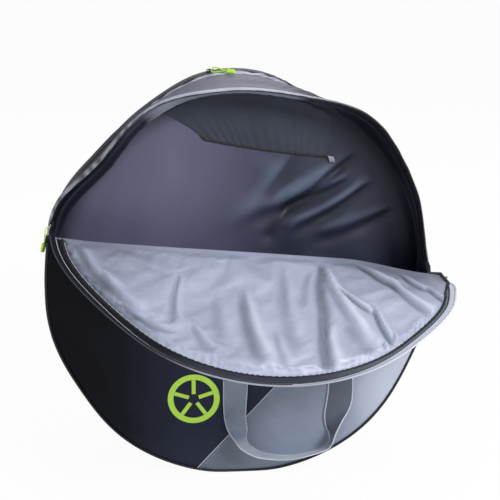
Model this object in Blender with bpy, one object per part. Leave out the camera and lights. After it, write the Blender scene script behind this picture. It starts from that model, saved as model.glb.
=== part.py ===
"""Round padded bag with two compartments, standing upright with its front cover folded down.

Metres, +Z up. The front looks towards -Y and the bag's round faces lie across Y. The origin is
the middle of the flat foot that the bag stands on. Depths are counted from a face inwards, and
insets from the rim inwards, so the front and the rear share one set of functions.
"""
from math import acos, cos, degrees, pi, radians, sin

import bmesh
import bpy
from mathutils import Matrix, Vector

# Overall size of the bag
RIM_RADIUS = 0.370
BAG_DEPTH = 0.250
FOOT_SINK = 0.004      # how far the lowest point of the round is pressed flat
RIM_LIFT = 0.018       # the upper half round sits this much higher, over straight sides

# Thickness of the padded wall, from outside to inside
SKIN = 0.0010
FOAM = 0.0040
LINING = 0.0008
GAP = 0.0003

# The slack upper rim falls in at these angles: middle in degrees, metres, reach in degrees.
# No dip reaches a slider at rest, because a slider runs on the full round.
FRONT_DIPS = ((137.0, 0.014, 20.0),)
REAR_DIPS = ((138.0, 0.034, 29.0), (64.0, 0.014, 18.0))

# Piping and edge binding
PIPING_RADIUS = 0.0025
BINDING_WIDTH = 0.0037
BINDING_DEPTH = 0.0030

# Zips: depth of each zip's middle behind its face, and the rim angles where its cover folds
FRONT_ZIP_DEPTH = 0.022
REAR_ZIP_DEPTH = 0.040
FRONT_FOLD = (165.0, 4.0)
REAR_FOLD = (172.0, 8.0)
FOLD_GAP = 0.0004
END_STEP = 0.5         # degrees between a fold's end and the pieces that stop there
LEAST_STEP = 0.3       # degrees between the ends of a strip and its next section
FRONT_COVER_REST = 120.0
TAPE_WIDTH = 0.0090
TAPE_THICKNESS = 0.0008
COIL_RADIUS = 0.0012
COIL_OFFSET = 0.0015   # from the zip's middle to each coil's middle
COIL_TO_FOAM = 0.0024  # clearance between the coil and the padding's edge
TAB_LENGTH = 3.0       # degrees of rim
TAB_WIDTH = 0.020
TAB_THICKNESS = 0.0008

# Divider between the compartments, and the pocket at its top
DIVIDER_FOAM = 0.0040
DIVIDER_LINING = 0.0008
DIVIDER_BINDING_INSET = 0.0075
DIVIDER_BINDING_DEPTH = 0.0070
POCKET_THICKNESS = 0.0016
POCKET_HEM_LEFT = (-0.160, 0.100)     # X, and how far below the rim's top
POCKET_HEM_RIGHT = (0.178, 0.154)
POCKET_RIM_INSET = 0.022
POCKET_HEM_HEIGHT = 0.007
POCKET_HEM_THICKNESS = 0.0012

# Seam between the black and the grey outer cloth of the front
SEAM_START = (-0.087, 0.010)
SEAM_END = (0.057, 0.167)

# Carrying handle on the lower front
HANDLE_CENTRE_X = 0.090
HANDLE_SPAN = 0.205
STRAP_WIDTH = 0.040
STRAP_THICKNESS = 0.0020
HANDLE_TOP_Z = 0.192
HANDLE_DROP = 0.165
HANDLE_CORNER = 0.022
HANDLE_INNER_CORNER = 0.0073
ANCHOR_WIDTH = 0.046
ANCHOR_HEIGHT = 0.046
ANCHOR_THICKNESS = 0.0022

# Sliders and pulls; along is the zip's direction, across lies over the tape
FRONT_SLIDER_ANGLE = 161.0
REAR_SLIDER_ANGLE = 97.0
SLIDER_LENGTH = 0.0120
SLIDER_NOSE_WIDTH = 0.0095
SLIDER_TAIL_WIDTH = 0.0070
SLIDER_THICKNESS = 0.0032
BRIDGE_LENGTH = 0.0084
BRIDGE_WIDTH = 0.0040
BRIDGE_HEIGHT = 0.0036
BRIDGE_WALL = 0.0012
BRIDGE_CHAMFER = 0.0009
PULL_WIRE = 0.0007
PULL_LOOP_WIDTH = 0.0070
PULL_LOOP_LENGTH = 0.0100
PULL_CORD_RADIUS = 0.0012
PULL_CORD_LENGTH = 0.0220
PULL_CORD_SPREAD = 0.0016
PULL_CORD_SECTIONS = 4
PULL_END_SIZE = (0.0250, 0.0080, 0.0050)
PULL_END_BEVEL = 0.0014
PULL_LEAN = 1.0        # degrees that a resting pull leans towards the bag

# Fineness of the round shapes
RIM_STEP = 6
PIPING_SIDES = 6
COIL_SIDES = 5
CORD_SIDES = 6
CORNER_STEPS = 4
SIDE_SPLIT = 0.01      # degrees below the horizontal where the lower half round begins

# Values worked out from the sizes above
FRONT = -1
REAR = 1
CENTRE_Z = RIM_RADIUS - FOOT_SINK
RIM_TOP = CENTRE_Z + RIM_LIFT + RIM_RADIUS
FOOT_ANGLE = degrees(acos(CENTRE_Z / RIM_RADIUS))
FOAM_START = SKIN + GAP
LINING_START = FOAM_START + FOAM + GAP
WALL = LINING_START + LINING
PANEL_INSET = 2 * PIPING_RADIUS + 3 * GAP
PIPING_END = 2 * PIPING_RADIUS + 2 * GAP
ZIP_HALF = TAPE_WIDTH + 3 * GAP
COIL_INSET = TAPE_THICKNESS + 2 * GAP + COIL_RADIUS
FOAM_ZIP_START = COIL_OFFSET + COIL_RADIUS + COIL_TO_FOAM
DIVIDER_HALF = DIVIDER_FOAM / 2 + GAP + DIVIDER_LINING

# Colours of the cloth, trim and metal
BLACK_CLOTH = (0.016, 0.017, 0.022)
GREY_CLOTH = (0.235, 0.270, 0.325)
FOAM_GREY = (0.35, 0.35, 0.35)
LINING_GREY = (0.42, 0.45, 0.54)
DIVIDER_VIOLET = (0.075, 0.070, 0.110)
TRIM_BLACK = (0.012, 0.012, 0.014)
TAPE_GREY = (0.30, 0.31, 0.36)
LIME = (0.38, 0.75, 0.03)
STEEL = (0.55, 0.56, 0.58)
WEBBING_GREY = (0.33, 0.37, 0.44)


def clear_scene():
    """Start from an empty scene."""
    for item in list(bpy.data.objects):
        bpy.data.objects.remove(item, do_unlink=True)


def face_y(side, depth):
    """Y of a point that lies at a depth behind the front or the rear face."""
    return side * (BAG_DEPTH / 2 - depth)


def dip(angle, dips):
    """How far the slack rim falls in at an angle."""
    near = [(angle - middle, depth, reach) for middle, depth, reach in dips
            if abs(angle - middle) < reach]
    return sum(depth * cos(0.5 * pi * away / reach) ** 2 for away, depth, reach in near)


def rim(angle, y, inset=0.0):
    """Point on the bag's rim at an angle in degrees, moved inwards by an inset."""
    turn = angle % 360.0
    upper = turn <= 180.0
    share = min(max(0.5 + y / BAG_DEPTH, 0.0), 1.0)
    fall = (1 - share) * dip(turn, FRONT_DIPS) + share * dip(turn, REAR_DIPS)
    radius = RIM_RADIUS - fall - inset
    middle = CENTRE_Z + (RIM_LIFT if upper else 0.0)
    x = radius * cos(radians(turn))
    z = middle + radius * sin(radians(turn))
    return Vector((x, y, max(z, inset)))


def full_circle():
    """Angles once round the rim, with the foot's edges, each half's start and the folds' ends."""
    steps = [fold + move for pair in (FRONT_FOLD, REAR_FOLD) for fold in pair
             for move in (-END_STEP / 2, END_STEP / 2)]
    angles = [float(a) for a in range(0, 360, RIM_STEP) if abs(a - 270) > FOOT_ANGLE + 1]
    angles = [a for a in angles if all(abs(a - step) > END_STEP for step in steps)]
    angles += [270 - FOOT_ANGLE, 270 + FOOT_ANGLE, 180 + SIDE_SPLIT, 360 - SIDE_SPLIT]
    return sorted(angles + steps)


def span(start, end):
    """Angles from start to end, both included, going round the rim."""
    circle = full_circle()
    twice = circle + [angle + 360 for angle in circle]
    inner = [angle for angle in twice if start + LEAST_STEP < angle < end - LEAST_STEP]
    return [start] + inner + [end]


def finish(bm, name, colour, roughness=0.8, metallic=0.0, parent=None, sharp=35.0):
    """Turn a bmesh into a named object with its own material, its parent's origin taken off."""
    bm.normal_update()
    bmesh.ops.recalc_face_normals(bm, faces=bm.faces)
    if parent is not None:
        bmesh.ops.translate(bm, verts=bm.verts, vec=-Vector(parent["origin"]))
    mesh = bpy.data.meshes.new(name)
    bm.to_mesh(mesh)
    bm.free()
    mesh.shade_smooth()
    mesh.set_sharp_from_angle(angle=radians(sharp))
    obj = bpy.data.objects.new(name, mesh)
    bpy.context.scene.collection.objects.link(obj)
    obj.parent = parent
    material = bpy.data.materials.new(name)
    material.use_nodes = True
    shader = material.node_tree.nodes["Principled BSDF"]
    shader.inputs["Base Color"].default_value = (*colour, 1.0)
    shader.inputs["Roughness"].default_value = roughness
    shader.inputs["Metallic"].default_value = metallic
    mesh.materials.append(material)
    return obj


def pivot(name, origin, turn=None, parent=None):
    """Empty on a joint's axis; its children keep the world coordinates of the unturned piece."""
    empty = bpy.data.objects.new(name, None)
    bpy.context.scene.collection.objects.link(empty)
    empty["origin"] = tuple(origin)
    start = Vector(origin)
    if parent is not None:
        start -= Vector(parent["origin"])
        empty.parent = parent
    empty.matrix_local = Matrix.Translation(start) @ (turn or Matrix.Identity(4))
    return empty


def sweep(sections, closed):
    """Solid through a row of like-numbered outlines, capped at its ends unless it closes."""
    bm = bmesh.new()
    rings = [[bm.verts.new(point) for point in section] for section in sections]
    count = len(rings[0])
    pairs = list(zip(rings, rings[1:]))
    if closed:
        pairs.append((rings[-1], rings[0]))
    for near, far in pairs:
        for i in range(count):
            j = (i + 1) % count
            # Twisted strips lie close together, so all are split along the same diagonal
            if near[j].co.y > near[i].co.y:
                bm.faces.new((near[i], near[j], far[j]))
                bm.faces.new((near[i], far[j], far[i]))
            else:
                bm.faces.new((near[i], near[j], far[i]))
                bm.faces.new((near[j], far[j], far[i]))
    if not closed:
        bm.faces.new(rings[0])
        bm.faces.new(rings[-1])
    return bm


def band(angles, inset, thickness, edges, closed=False):
    """Strip of cloth along the rim; edges(angle) gives its Y values, from one edge to the other."""
    sections = []
    for angle in angles:
        across = edges(angle)
        outside = [rim(angle, y, inset) for y in across]
        inside = [rim(angle, y, inset + thickness) for y in reversed(across)]
        sections.append(outside + inside)
    return sweep(sections, closed)


def rim_tube(angles, y, inset, radius, sides, closed=False):
    """Round cord along the rim."""
    sections = []
    for angle in angles:
        turns = [2 * pi * k / sides for k in range(sides)]
        sections.append([rim(angle, y + radius * sin(a), inset - radius * cos(a)) for a in turns])
    return sweep(sections, closed)


def slab(outline, y_start, y_end):
    """Flat panel: an outline of (x, z) points pulled from one Y to another."""
    bm = bmesh.new()
    face = bm.faces.new([bm.verts.new((x, y_start, z)) for x, z in outline])
    pulled = bmesh.ops.extrude_face_region(bm, geom=[face])["geom"]
    moved = [item for item in pulled if isinstance(item, bmesh.types.BMVert)]
    bmesh.ops.translate(bm, verts=moved, vec=(0, y_end - y_start, 0))
    return bm


def disc(y, inset):
    """Outline of the bag at a Y, as (x, z) points."""
    points = [rim(angle, y, inset) for angle in full_circle()]
    return [(point.x, point.z) for point in points]


def cut(outline, start, end, offset=0.0):
    """Part of an outline that lies left of the line from start to end, at least offset from it."""
    run = Vector((end[0] - start[0], end[1] - start[1])).normalized()
    heights = [run.x * (z - start[1]) - run.y * (x - start[0]) - offset for x, z in outline]
    kept = []
    for i, (x, z) in enumerate(outline):
        j = (i + 1) % len(outline)
        if heights[i] >= 0:
            kept.append((x, z))
        if (heights[i] >= 0) != (heights[j] >= 0):
            share = heights[i] / (heights[i] - heights[j])
            kept.append((x + share * (outline[j][0] - x), z + share * (outline[j][1] - z)))
    return kept


def fold_ends(side, fold):
    """Left and right end of a cover's fold line, as (x, z) points on the rim."""
    points = [rim(angle, face_y(side, 0)) for angle in fold]
    return [(point.x, point.z) for point in points]


def layer(side, start, thickness):
    """Y limits of one layer of a face's padded panel."""
    return face_y(side, start), face_y(side, start + thickness)


def in_zip(angle, fold):
    """True where the rim carries the zip instead of the lower panel."""
    turn = (angle + 90) % 360 - 90
    return fold[1] < turn < fold[0]


def build_gusset():
    """The side wall between the two faces: outer cloth, foam and lining."""
    angles = full_circle()

    def edge(side, fold, zip_depth, in_zip_extra, plain_depth):
        """Function that gives the wall's edge on one side at an angle."""
        return lambda a: face_y(side, zip_depth + in_zip_extra if in_zip(a, fold) else plain_depth)

    front_skin = edge(FRONT, FRONT_FOLD, FRONT_ZIP_DEPTH, ZIP_HALF, PIPING_END)
    rear_skin = edge(REAR, REAR_FOLD, REAR_ZIP_DEPTH, ZIP_HALF, PIPING_END)
    bm = band(angles, 0, SKIN, lambda a: (front_skin(a), 0.0, rear_skin(a)), closed=True)
    finish(bm, "gusset_outer", BLACK_CLOTH)

    middle = DIVIDER_BINDING_DEPTH / 2 + GAP
    inner_edges = {
        "front": (edge(FRONT, FRONT_FOLD, FRONT_ZIP_DEPTH, FOAM_ZIP_START, WALL + GAP), -middle),
        "rear": (edge(REAR, REAR_FOLD, REAR_ZIP_DEPTH, FOAM_ZIP_START, WALL + GAP), middle),
    }
    for label, (outside, inside) in inner_edges.items():
        limits = lambda a, outside=outside, inside=inside: (outside(a), inside)
        foam = band(angles, FOAM_START, FOAM, limits, closed=True)
        finish(foam, "gusset_foam_" + label, FOAM_GREY)
        lining = band(angles, LINING_START, LINING, limits, closed=True)
        finish(lining, "gusset_lining_" + label, TRIM_BLACK)


def build_divider():
    """Padded wall between the two compartments, with a pocket at its top."""
    half = DIVIDER_BINDING_DEPTH / 2
    strip = DIVIDER_BINDING_INSET - FOAM_START
    edges = lambda a: (-half, half)
    finish(band(full_circle(), FOAM_START, strip, edges, closed=True), "divider_binding", TRIM_BLACK)

    outline = disc(0, DIVIDER_BINDING_INSET + 2 * GAP)
    finish(slab(outline, -DIVIDER_FOAM / 2, DIVIDER_FOAM / 2), "divider_foam", FOAM_GREY)
    for label, side in (("front", FRONT), ("rear", REAR)):
        lining = slab(outline, side * (DIVIDER_FOAM / 2 + GAP), side * DIVIDER_HALF)
        finish(lining, "divider_lining_" + label, DIVIDER_VIOLET)

    left, right = ((x, RIM_TOP - below) for x, below in (POCKET_HEM_LEFT, POCKET_HEM_RIGHT))
    pocket = cut(disc(0, POCKET_RIM_INSET), left, right)
    pocket = cut(pocket, right, (right[0], RIM_TOP))
    pocket = cut(pocket, (left[0], RIM_TOP), left)
    back = -DIVIDER_HALF - GAP
    finish(slab(pocket, back, back - POCKET_THICKNESS), "divider_pocket", BLACK_CLOTH)
    hem = cut(pocket, right, left, -POCKET_HEM_HEIGHT)
    front = back - POCKET_THICKNESS - GAP
    finish(slab(hem, front, front - POCKET_HEM_THICKNESS), "divider_pocket_hem", TRIM_BLACK)


def build_lower_panel(label, side, fold, seam=None):
    """Sewn-in lower part of a face, below the cover's fold line."""
    left, right = fold_ends(side, fold)
    outline = cut(disc(face_y(side, 0), PANEL_INSET), right, left, FOLD_GAP)
    skin = layer(side, 0, SKIN)
    if seam:
        black = cut(outline, *seam, GAP / 2)
        grey = cut(outline, *reversed(seam), GAP / 2)
        finish(slab(black, *skin), label + "_panel_outer_black", BLACK_CLOTH)
        finish(slab(grey, *skin), label + "_panel_outer_grey", GREY_CLOTH, 0.6)
    else:
        finish(slab(outline, *skin), label + "_panel_outer", BLACK_CLOTH)
    finish(slab(outline, *layer(side, FOAM_START, FOAM)), label + "_panel_foam", FOAM_GREY)
    finish(slab(outline, *layer(side, LINING_START, LINING)), label + "_panel_lining", LINING_GREY)
    angles = span(fold[0] + END_STEP, fold[1] + 360 - END_STEP)
    piping = rim_tube(angles, face_y(side, PIPING_RADIUS), PIPING_RADIUS, PIPING_RADIUS, PIPING_SIDES)
    finish(piping, label + "_panel_piping", TRIM_BLACK, 0.5)


def build_cover(label, side, fold, zip_depth, rest, seam=None):
    """Upper part of a face: a padded lid with a shallow side wall that carries half the zip."""
    left, right = fold_ends(side, fold)
    middle = Vector(((left[0] + right[0]) / 2, face_y(side, 0), (left[1] + right[1]) / 2))
    axis = Vector((left[0] - right[0], 0, left[1] - right[1])).normalized()
    hinge = pivot(label + "_cover_fold", middle, Matrix.Rotation(radians(-rest), 4, axis))

    outline = cut(disc(face_y(side, 0), PANEL_INSET), left, right, FOLD_GAP)
    skin = layer(side, 0, SKIN)
    if seam:
        black = cut(outline, *seam, GAP / 2)
        grey = cut(outline, *reversed(seam), GAP / 2)
        finish(slab(black, *skin), label + "_cover_outer_black", BLACK_CLOTH, parent=hinge)
        finish(slab(grey, *skin), label + "_cover_outer_grey", GREY_CLOTH, 0.6, parent=hinge)
    else:
        finish(slab(outline, *skin), label + "_cover_outer", BLACK_CLOTH, parent=hinge)
    foam = slab(outline, *layer(side, FOAM_START, FOAM))
    finish(foam, label + "_cover_foam", FOAM_GREY, parent=hinge)
    lining = slab(outline, *layer(side, LINING_START, LINING))
    finish(lining, label + "_cover_lining", LINING_GREY, parent=hinge)

    angles = span(fold[1] + END_STEP, fold[0] - END_STEP)
    piping = rim_tube(angles, face_y(side, PIPING_RADIUS), PIPING_RADIUS, PIPING_RADIUS, PIPING_SIDES)
    finish(piping, label + "_cover_piping", TRIM_BLACK, 0.5, parent=hinge)
    wall_edges = layer(side, PIPING_END, zip_depth - ZIP_HALF - PIPING_END)
    wall = band(angles, 0, SKIN, lambda a: wall_edges)
    finish(wall, label + "_cover_wall", BLACK_CLOTH, parent=hinge)
    binding_edges = layer(side, PIPING_END, BINDING_DEPTH)
    binding = band(angles, FOAM_START, BINDING_WIDTH, lambda a: binding_edges)
    finish(binding, label + "_cover_binding", TRIM_BLACK, 0.6, parent=hinge)
    build_zip_half(label + "_zip_cover", side, angles, zip_depth, -1, hinge)


def build_zip_half(name, side, angles, zip_depth, way, parent=None):
    """One tape and coil; way is -1 on the cover's edge and 1 on the gusset's edge."""
    near = zip_depth + way * 2 * GAP
    far = zip_depth + way * (TAPE_WIDTH + 2 * GAP)
    edges = (face_y(side, near), face_y(side, far))
    inset = (SKIN - TAPE_THICKNESS) / 2
    tape = band(angles, inset, TAPE_THICKNESS, lambda a: edges)
    finish(tape, name + "_tape", TAPE_GREY, parent=parent)
    coil_y = face_y(side, zip_depth + way * COIL_OFFSET)
    coil = rim_tube(angles, coil_y, COIL_INSET, COIL_RADIUS, COIL_SIDES)
    finish(coil, name + "_coil", TRIM_BLACK, 0.4, parent=parent)


def build_zip_ends(name, side, fold, zip_depth):
    """Two sewn tabs over the ends of a zip, on the gusset just below the fold."""
    start = face_y(side, zip_depth) - TAB_WIDTH / 2
    starts = {"left": fold[0] + END_STEP, "right": fold[1] - END_STEP - TAB_LENGTH}
    for hand, first in starts.items():
        angles = [first, first + TAB_LENGTH / 2, first + TAB_LENGTH]
        edges = lambda a: (start, start + TAB_WIDTH)
        tab = band(angles, -GAP - TAB_THICKNESS, TAB_THICKNESS, edges)
        finish(tab, name + "_" + hand, TRIM_BLACK)


def tube(points, radius, sides, normal, closed=False):
    """Round wire through points that lie in one plane with the given normal."""
    sections = []
    count = len(points)
    for i, point in enumerate(points):
        if closed:
            run = points[(i + 1) % count] - points[i - 1]
        else:
            run = points[min(i + 1, count - 1)] - points[max(i - 1, 0)]
        out = run.cross(normal).normalized()
        turns = [2 * pi * k / sides for k in range(sides)]
        sections.append([point + radius * (cos(a) * out + sin(a) * normal) for a in turns])
    return sweep(sections, closed)


def arc(middle, first, second, radius, start, end, steps):
    """Points on an arc in the plane of two unit vectors; angles in degrees."""
    turns = [radians(start + (end - start) * k / steps) for k in range(steps + 1)]
    return [middle + radius * (cos(a) * first + sin(a) * second) for a in turns]


def local_frame(side, angle, zip_depth, way):
    """Place of a slider on the full round: its seat, and the directions along, across and outward."""
    outward = Vector((cos(radians(angle)), 0, sin(radians(angle))))
    seat = Vector((0, face_y(side, zip_depth), CENTRE_Z + RIM_LIFT)) + RIM_RADIUS * outward
    along = way * Vector((-sin(radians(angle)), 0, cos(radians(angle))))
    return seat, along, outward.cross(along), outward


def build_slider(label, side, angle, zip_depth, way):
    """Slider, its bridge and its pull. way is 1 where the pull points to larger angles."""
    seat, along, across, outward = local_frame(side, angle, zip_depth, way)
    ring = pivot(label + "_slider_path", Vector((0, 0, CENTRE_Z + RIM_LIFT)))

    def place(u, v, w):
        """World point from distances along, across and outward."""
        return seat + u * along + v * across + w * outward

    half = SLIDER_LENGTH / 2
    nose, tail = SLIDER_NOSE_WIDTH / 2, SLIDER_TAIL_WIDTH / 2
    plan = ((-half, nose * 0.6), (-half * 0.6, nose), (0, nose * 0.9), (half, tail),
            (half, -tail), (0, -nose * 0.9), (-half * 0.6, -nose), (-half, -nose * 0.6))
    floor, roof = GAP, GAP + SLIDER_THICKNESS
    body = sweep([[place(u, v, w) for u, v in plan] for w in (floor, roof)], False)
    finish(body, label + "_slider_body", TRIM_BLACK, 0.35, 0.6, parent=ring)

    foot = roof + GAP
    top = foot + BRIDGE_HEIGHT
    reach = BRIDGE_LENGTH / 2
    arch = ((-reach, foot), (-reach + BRIDGE_WALL, foot), (-reach + BRIDGE_WALL, top - BRIDGE_WALL),
            (reach - BRIDGE_WALL, top - BRIDGE_WALL), (reach - BRIDGE_WALL, foot), (reach, foot),
            (reach, top - BRIDGE_CHAMFER), (reach - BRIDGE_CHAMFER, top), (-reach + BRIDGE_CHAMFER, top),
            (-reach, top - BRIDGE_CHAMFER))
    width = BRIDGE_WIDTH / 2
    bridge = sweep([[place(u, v, w) for u, w in arch] for v in (-width, width)], False)
    finish(bridge, label + "_slider_bridge", TRIM_BLACK, 0.35, 0.6, parent=ring)

    # The pull hangs from a bar through the bridge
    level = foot + (BRIDGE_HEIGHT - BRIDGE_WALL) / 2
    lean = Matrix.Rotation(radians(PULL_LEAN), 4, across)
    swing = pivot(label + "_pull_swing", place(0, 0, level), lean, ring)
    side_bar = PULL_LOOP_WIDTH / 2
    bend = PULL_WIRE * 2
    corners = ((bend, side_bar - bend, 0), (PULL_LOOP_LENGTH - bend, side_bar - bend, 1),
               (PULL_LOOP_LENGTH - bend, bend - side_bar, 2), (bend, bend - side_bar, 3))
    loop = []
    for u, v, quarter in corners:
        start = 180 - 90 * quarter
        loop += arc(place(u, v, level), along, across, bend, start, start - 90, CORNER_STEPS)
    finish(tube(loop, PULL_WIRE, CORD_SIDES, outward, True), label + "_pull_loop", STEEL, 0.3, 1.0,
           parent=swing)

    bow = PULL_WIRE + GAP + PULL_CORD_RADIUS
    turn_place = place(PULL_LOOP_LENGTH, 0, level)
    route = arc(turn_place, along, outward, bow, 90, 270, 3 * CORNER_STEPS)
    end_along = PULL_LOOP_LENGTH + PULL_CORD_LENGTH
    for k in range(1, PULL_CORD_SECTIONS + 1):
        share = k / PULL_CORD_SECTIONS
        reach_along = PULL_LOOP_LENGTH + PULL_CORD_LENGTH * share
        gap_now = bow + (PULL_CORD_SPREAD - bow) * share
        route.append(place(reach_along, 0, level - gap_now))
        route.insert(0, place(reach_along, 0, level + gap_now))
    cord = tube(route, PULL_CORD_RADIUS, CORD_SIDES, across)
    finish(cord, label + "_pull_cord", LIME, 0.6, parent=swing)

    length, wide, thick = PULL_END_SIZE
    bm = bmesh.new()
    bmesh.ops.create_cube(bm, size=1.0)
    for vert in bm.verts:
        u, v, w = vert.co
        vert.co = place(end_along + GAP + length * (u + 0.5), wide * v, level + thick * w)
    bm.normal_update()
    bmesh.ops.bevel(bm, geom=bm.edges[:], offset=PULL_END_BEVEL, segments=2, affect="EDGES")
    finish(bm, label + "_pull_end", LIME, 0.45, parent=swing)


def build_handle():
    """Webbing loop on the lower front, hanging from two sewn anchor patches."""
    face = face_y(FRONT, 0)
    near = face - GAP
    axis_y = near - max(STRAP_THICKNESS, ANCHOR_THICKNESS) - GAP
    hinge = pivot("handle_swing", Vector((HANDLE_CENTRE_X, axis_y, HANDLE_TOP_Z)))
    half_span = HANDLE_SPAN / 2
    half_strap = STRAP_WIDTH / 2
    bottom = HANDLE_TOP_Z - HANDLE_DROP
    outer = half_span + half_strap
    inner = half_span - half_strap
    x_way, z_way = Vector((1, 0, 0)), Vector((0, 0, 1))

    def corner(x, z, radius, start, end):
        """Rounded corner as (x, z) points."""
        points = arc(Vector((HANDLE_CENTRE_X + x, 0, z)), x_way, z_way, radius, start, end, CORNER_STEPS)
        return [(point.x, point.z) for point in points]

    radius = HANDLE_CORNER
    small = HANDLE_INNER_CORNER
    outline = [(HANDLE_CENTRE_X - outer, HANDLE_TOP_Z)]
    outline += corner(-outer + radius, bottom + radius, radius, 180, 270)
    outline += corner(outer - radius, bottom + radius, radius, 270, 360)
    outline += [(HANDLE_CENTRE_X + outer, HANDLE_TOP_Z), (HANDLE_CENTRE_X + inner, HANDLE_TOP_Z)]
    top_of_run = bottom + STRAP_WIDTH
    outline += corner(inner - small, top_of_run + small, small, 360, 270)
    outline += corner(-inner + small, top_of_run + small, small, 270, 180)
    outline += [(HANDLE_CENTRE_X - inner, HANDLE_TOP_Z)]
    finish(slab(outline, near, near - STRAP_THICKNESS), "handle_webbing", WEBBING_GREY, 0.7, parent=hinge)

    foot = HANDLE_TOP_Z + GAP
    for hand, shift in (("left", -half_span), ("right", half_span)):
        low = HANDLE_CENTRE_X + shift - ANCHOR_WIDTH / 2
        high = low + ANCHOR_WIDTH
        square = [(low, foot), (high, foot), (high, foot + ANCHOR_HEIGHT), (low, foot + ANCHOR_HEIGHT)]
        patch = slab(square, near, near - ANCHOR_THICKNESS)
        finish(patch, "handle_anchor_" + hand, WEBBING_GREY, 0.7)


def build():
    """Model the whole bag."""
    clear_scene()
    build_gusset()
    build_divider()
    seam = (SEAM_START, SEAM_END)
    build_lower_panel("front", FRONT, FRONT_FOLD, seam)
    build_lower_panel("rear", REAR, REAR_FOLD)
    build_cover("front", FRONT, FRONT_FOLD, FRONT_ZIP_DEPTH, FRONT_COVER_REST, seam)
    build_cover("rear", REAR, REAR_FOLD, REAR_ZIP_DEPTH, 0.0)
    zips = (("front", FRONT, FRONT_FOLD, FRONT_ZIP_DEPTH), ("rear", REAR, REAR_FOLD, REAR_ZIP_DEPTH))
    for label, side, fold, depth in zips:
        angles = span(fold[1] + END_STEP, fold[0] - END_STEP)
        build_zip_half(label + "_zip_gusset", side, angles, depth, 1)
        build_zip_ends(label + "_zip_end_tab", side, fold, depth)
    build_slider("front", FRONT, FRONT_SLIDER_ANGLE, FRONT_ZIP_DEPTH, 1)
    build_slider("rear", REAR, REAR_SLIDER_ANGLE, REAR_ZIP_DEPTH, -1)
    build_handle()


build()
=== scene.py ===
# %% Load the fixed frame
from math import pi, radians

import bmesh
import bpy
import numpy as np
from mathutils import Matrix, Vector


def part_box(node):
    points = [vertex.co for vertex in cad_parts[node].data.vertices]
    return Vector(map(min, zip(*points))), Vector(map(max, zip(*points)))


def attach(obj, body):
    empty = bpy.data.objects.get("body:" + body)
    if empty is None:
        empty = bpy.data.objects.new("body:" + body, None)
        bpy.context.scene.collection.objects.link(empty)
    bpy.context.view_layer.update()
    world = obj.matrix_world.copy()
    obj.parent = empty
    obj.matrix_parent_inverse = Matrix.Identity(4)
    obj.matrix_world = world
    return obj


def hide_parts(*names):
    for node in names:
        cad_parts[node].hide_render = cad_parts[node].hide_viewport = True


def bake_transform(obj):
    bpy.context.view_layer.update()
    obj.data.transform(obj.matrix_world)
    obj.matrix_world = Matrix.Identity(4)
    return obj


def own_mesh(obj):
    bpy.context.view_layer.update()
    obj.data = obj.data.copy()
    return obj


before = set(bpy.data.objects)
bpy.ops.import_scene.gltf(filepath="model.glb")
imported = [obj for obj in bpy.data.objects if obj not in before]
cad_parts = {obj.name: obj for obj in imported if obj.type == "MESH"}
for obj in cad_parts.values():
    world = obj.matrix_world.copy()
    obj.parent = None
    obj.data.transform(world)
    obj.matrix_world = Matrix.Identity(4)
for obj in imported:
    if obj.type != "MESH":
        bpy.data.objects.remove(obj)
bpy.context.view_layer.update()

# %% [markdown]
# # A padded wheel bag
# This bag is a round padded case with two compartments. It stands on its rim.
# A padded disc closes each side, a padded wall goes round them and a third disc divides it.
# Each side opens with a zip that runs over the top. The front cover is shown folded down.
# Nearly everything here is sewn cloth, so most pieces are meshes that are built point by
# point from the real outline. The sliders and wire loops keep their part-file shapes with new
# finishes, and the handle's patches are modelled with Blender's operators.

# %% Camera, at the photograph's viewing angle
LENS, SENSOR = 125.17, 36.0
CAMERA_PLACE = Vector((-0.2566, -3.2476, 1.3806))
CAMERA_TARGET = Vector((0.0275, 0.0, 0.4149))

camera_data = bpy.data.cameras.new("photo_camera")
camera_data.lens = LENS
camera_data.sensor_width = SENSOR
camera = bpy.data.objects.new("photo_camera", camera_data)
camera.location = CAMERA_PLACE
camera.rotation_euler = (CAMERA_TARGET - CAMERA_PLACE).to_track_quat("-Z", "Y").to_euler()
bpy.context.scene.collection.objects.link(camera)
bpy.context.scene.camera = camera
print("camera is", round((CAMERA_TARGET - CAMERA_PLACE).length, 2), "m from the bag")

# %% [markdown]
# ## One outline for everything
# A sewn bag is never a true circle. The loaded half sits on a flattened foot, and the open
# top rim is slack: it flops outwards in one place and drops in another. Every piece asks the
# same function for its place on the rim, so pieces that are sewn together stay together.

# %% The rim: radius and slack, by angle and by depth
RADIUS = 0.370           # outer cloth, metres
LOW_CENTRE = 0.366       # height of the lower half round's centre
HIGH_CENTRE = 0.384      # the upper half sits a little higher, over short straight sides
HALF_DEPTH = 0.125       # the front face is at y = -0.125 and the rear face at +0.125
WALL = 0.0064            # cloth, foam and lining together
FOOT_SOFTNESS = 0.003    # how softly the pressed foot leaves the floor


def smooth(low, high, x):
    """0 below low, 1 above high, and an even S between them."""
    t = np.clip((np.asarray(x, float) - low) / (high - low), 0, 1)
    return t * t * (3 - 2 * t)


def hump(x, middle, spread):
    return np.exp(-0.5 * ((np.asarray(x, float) - middle) / spread) ** 2)


def wrap(angle):
    """The same angle from -90 up to 270 degrees, which runs evenly over the top."""
    return (np.asarray(angle, float) + 90) % 360 - 90


def cosd(degrees):
    return np.cos(np.radians(degrees))


def sind(degrees):
    return np.sin(np.radians(degrees))


def join(*coordinates):
    """Points with these coordinates, stretched to one shape."""
    return np.stack(np.broadcast_arrays(*coordinates), -1)


def front_slack(angle):
    """How far the open front rim stands outside the round, measured from the photograph."""
    return (0.029 * hump(angle, 51, 11) + 0.008 * hump(angle, 113, 8) + 0.005 * hump(angle, 30, 8)
            - 0.011 * hump(angle, 137, 8) - 0.008 * hump(angle, 10, 7) + 0.012 * hump(angle, 157, 7))


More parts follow.
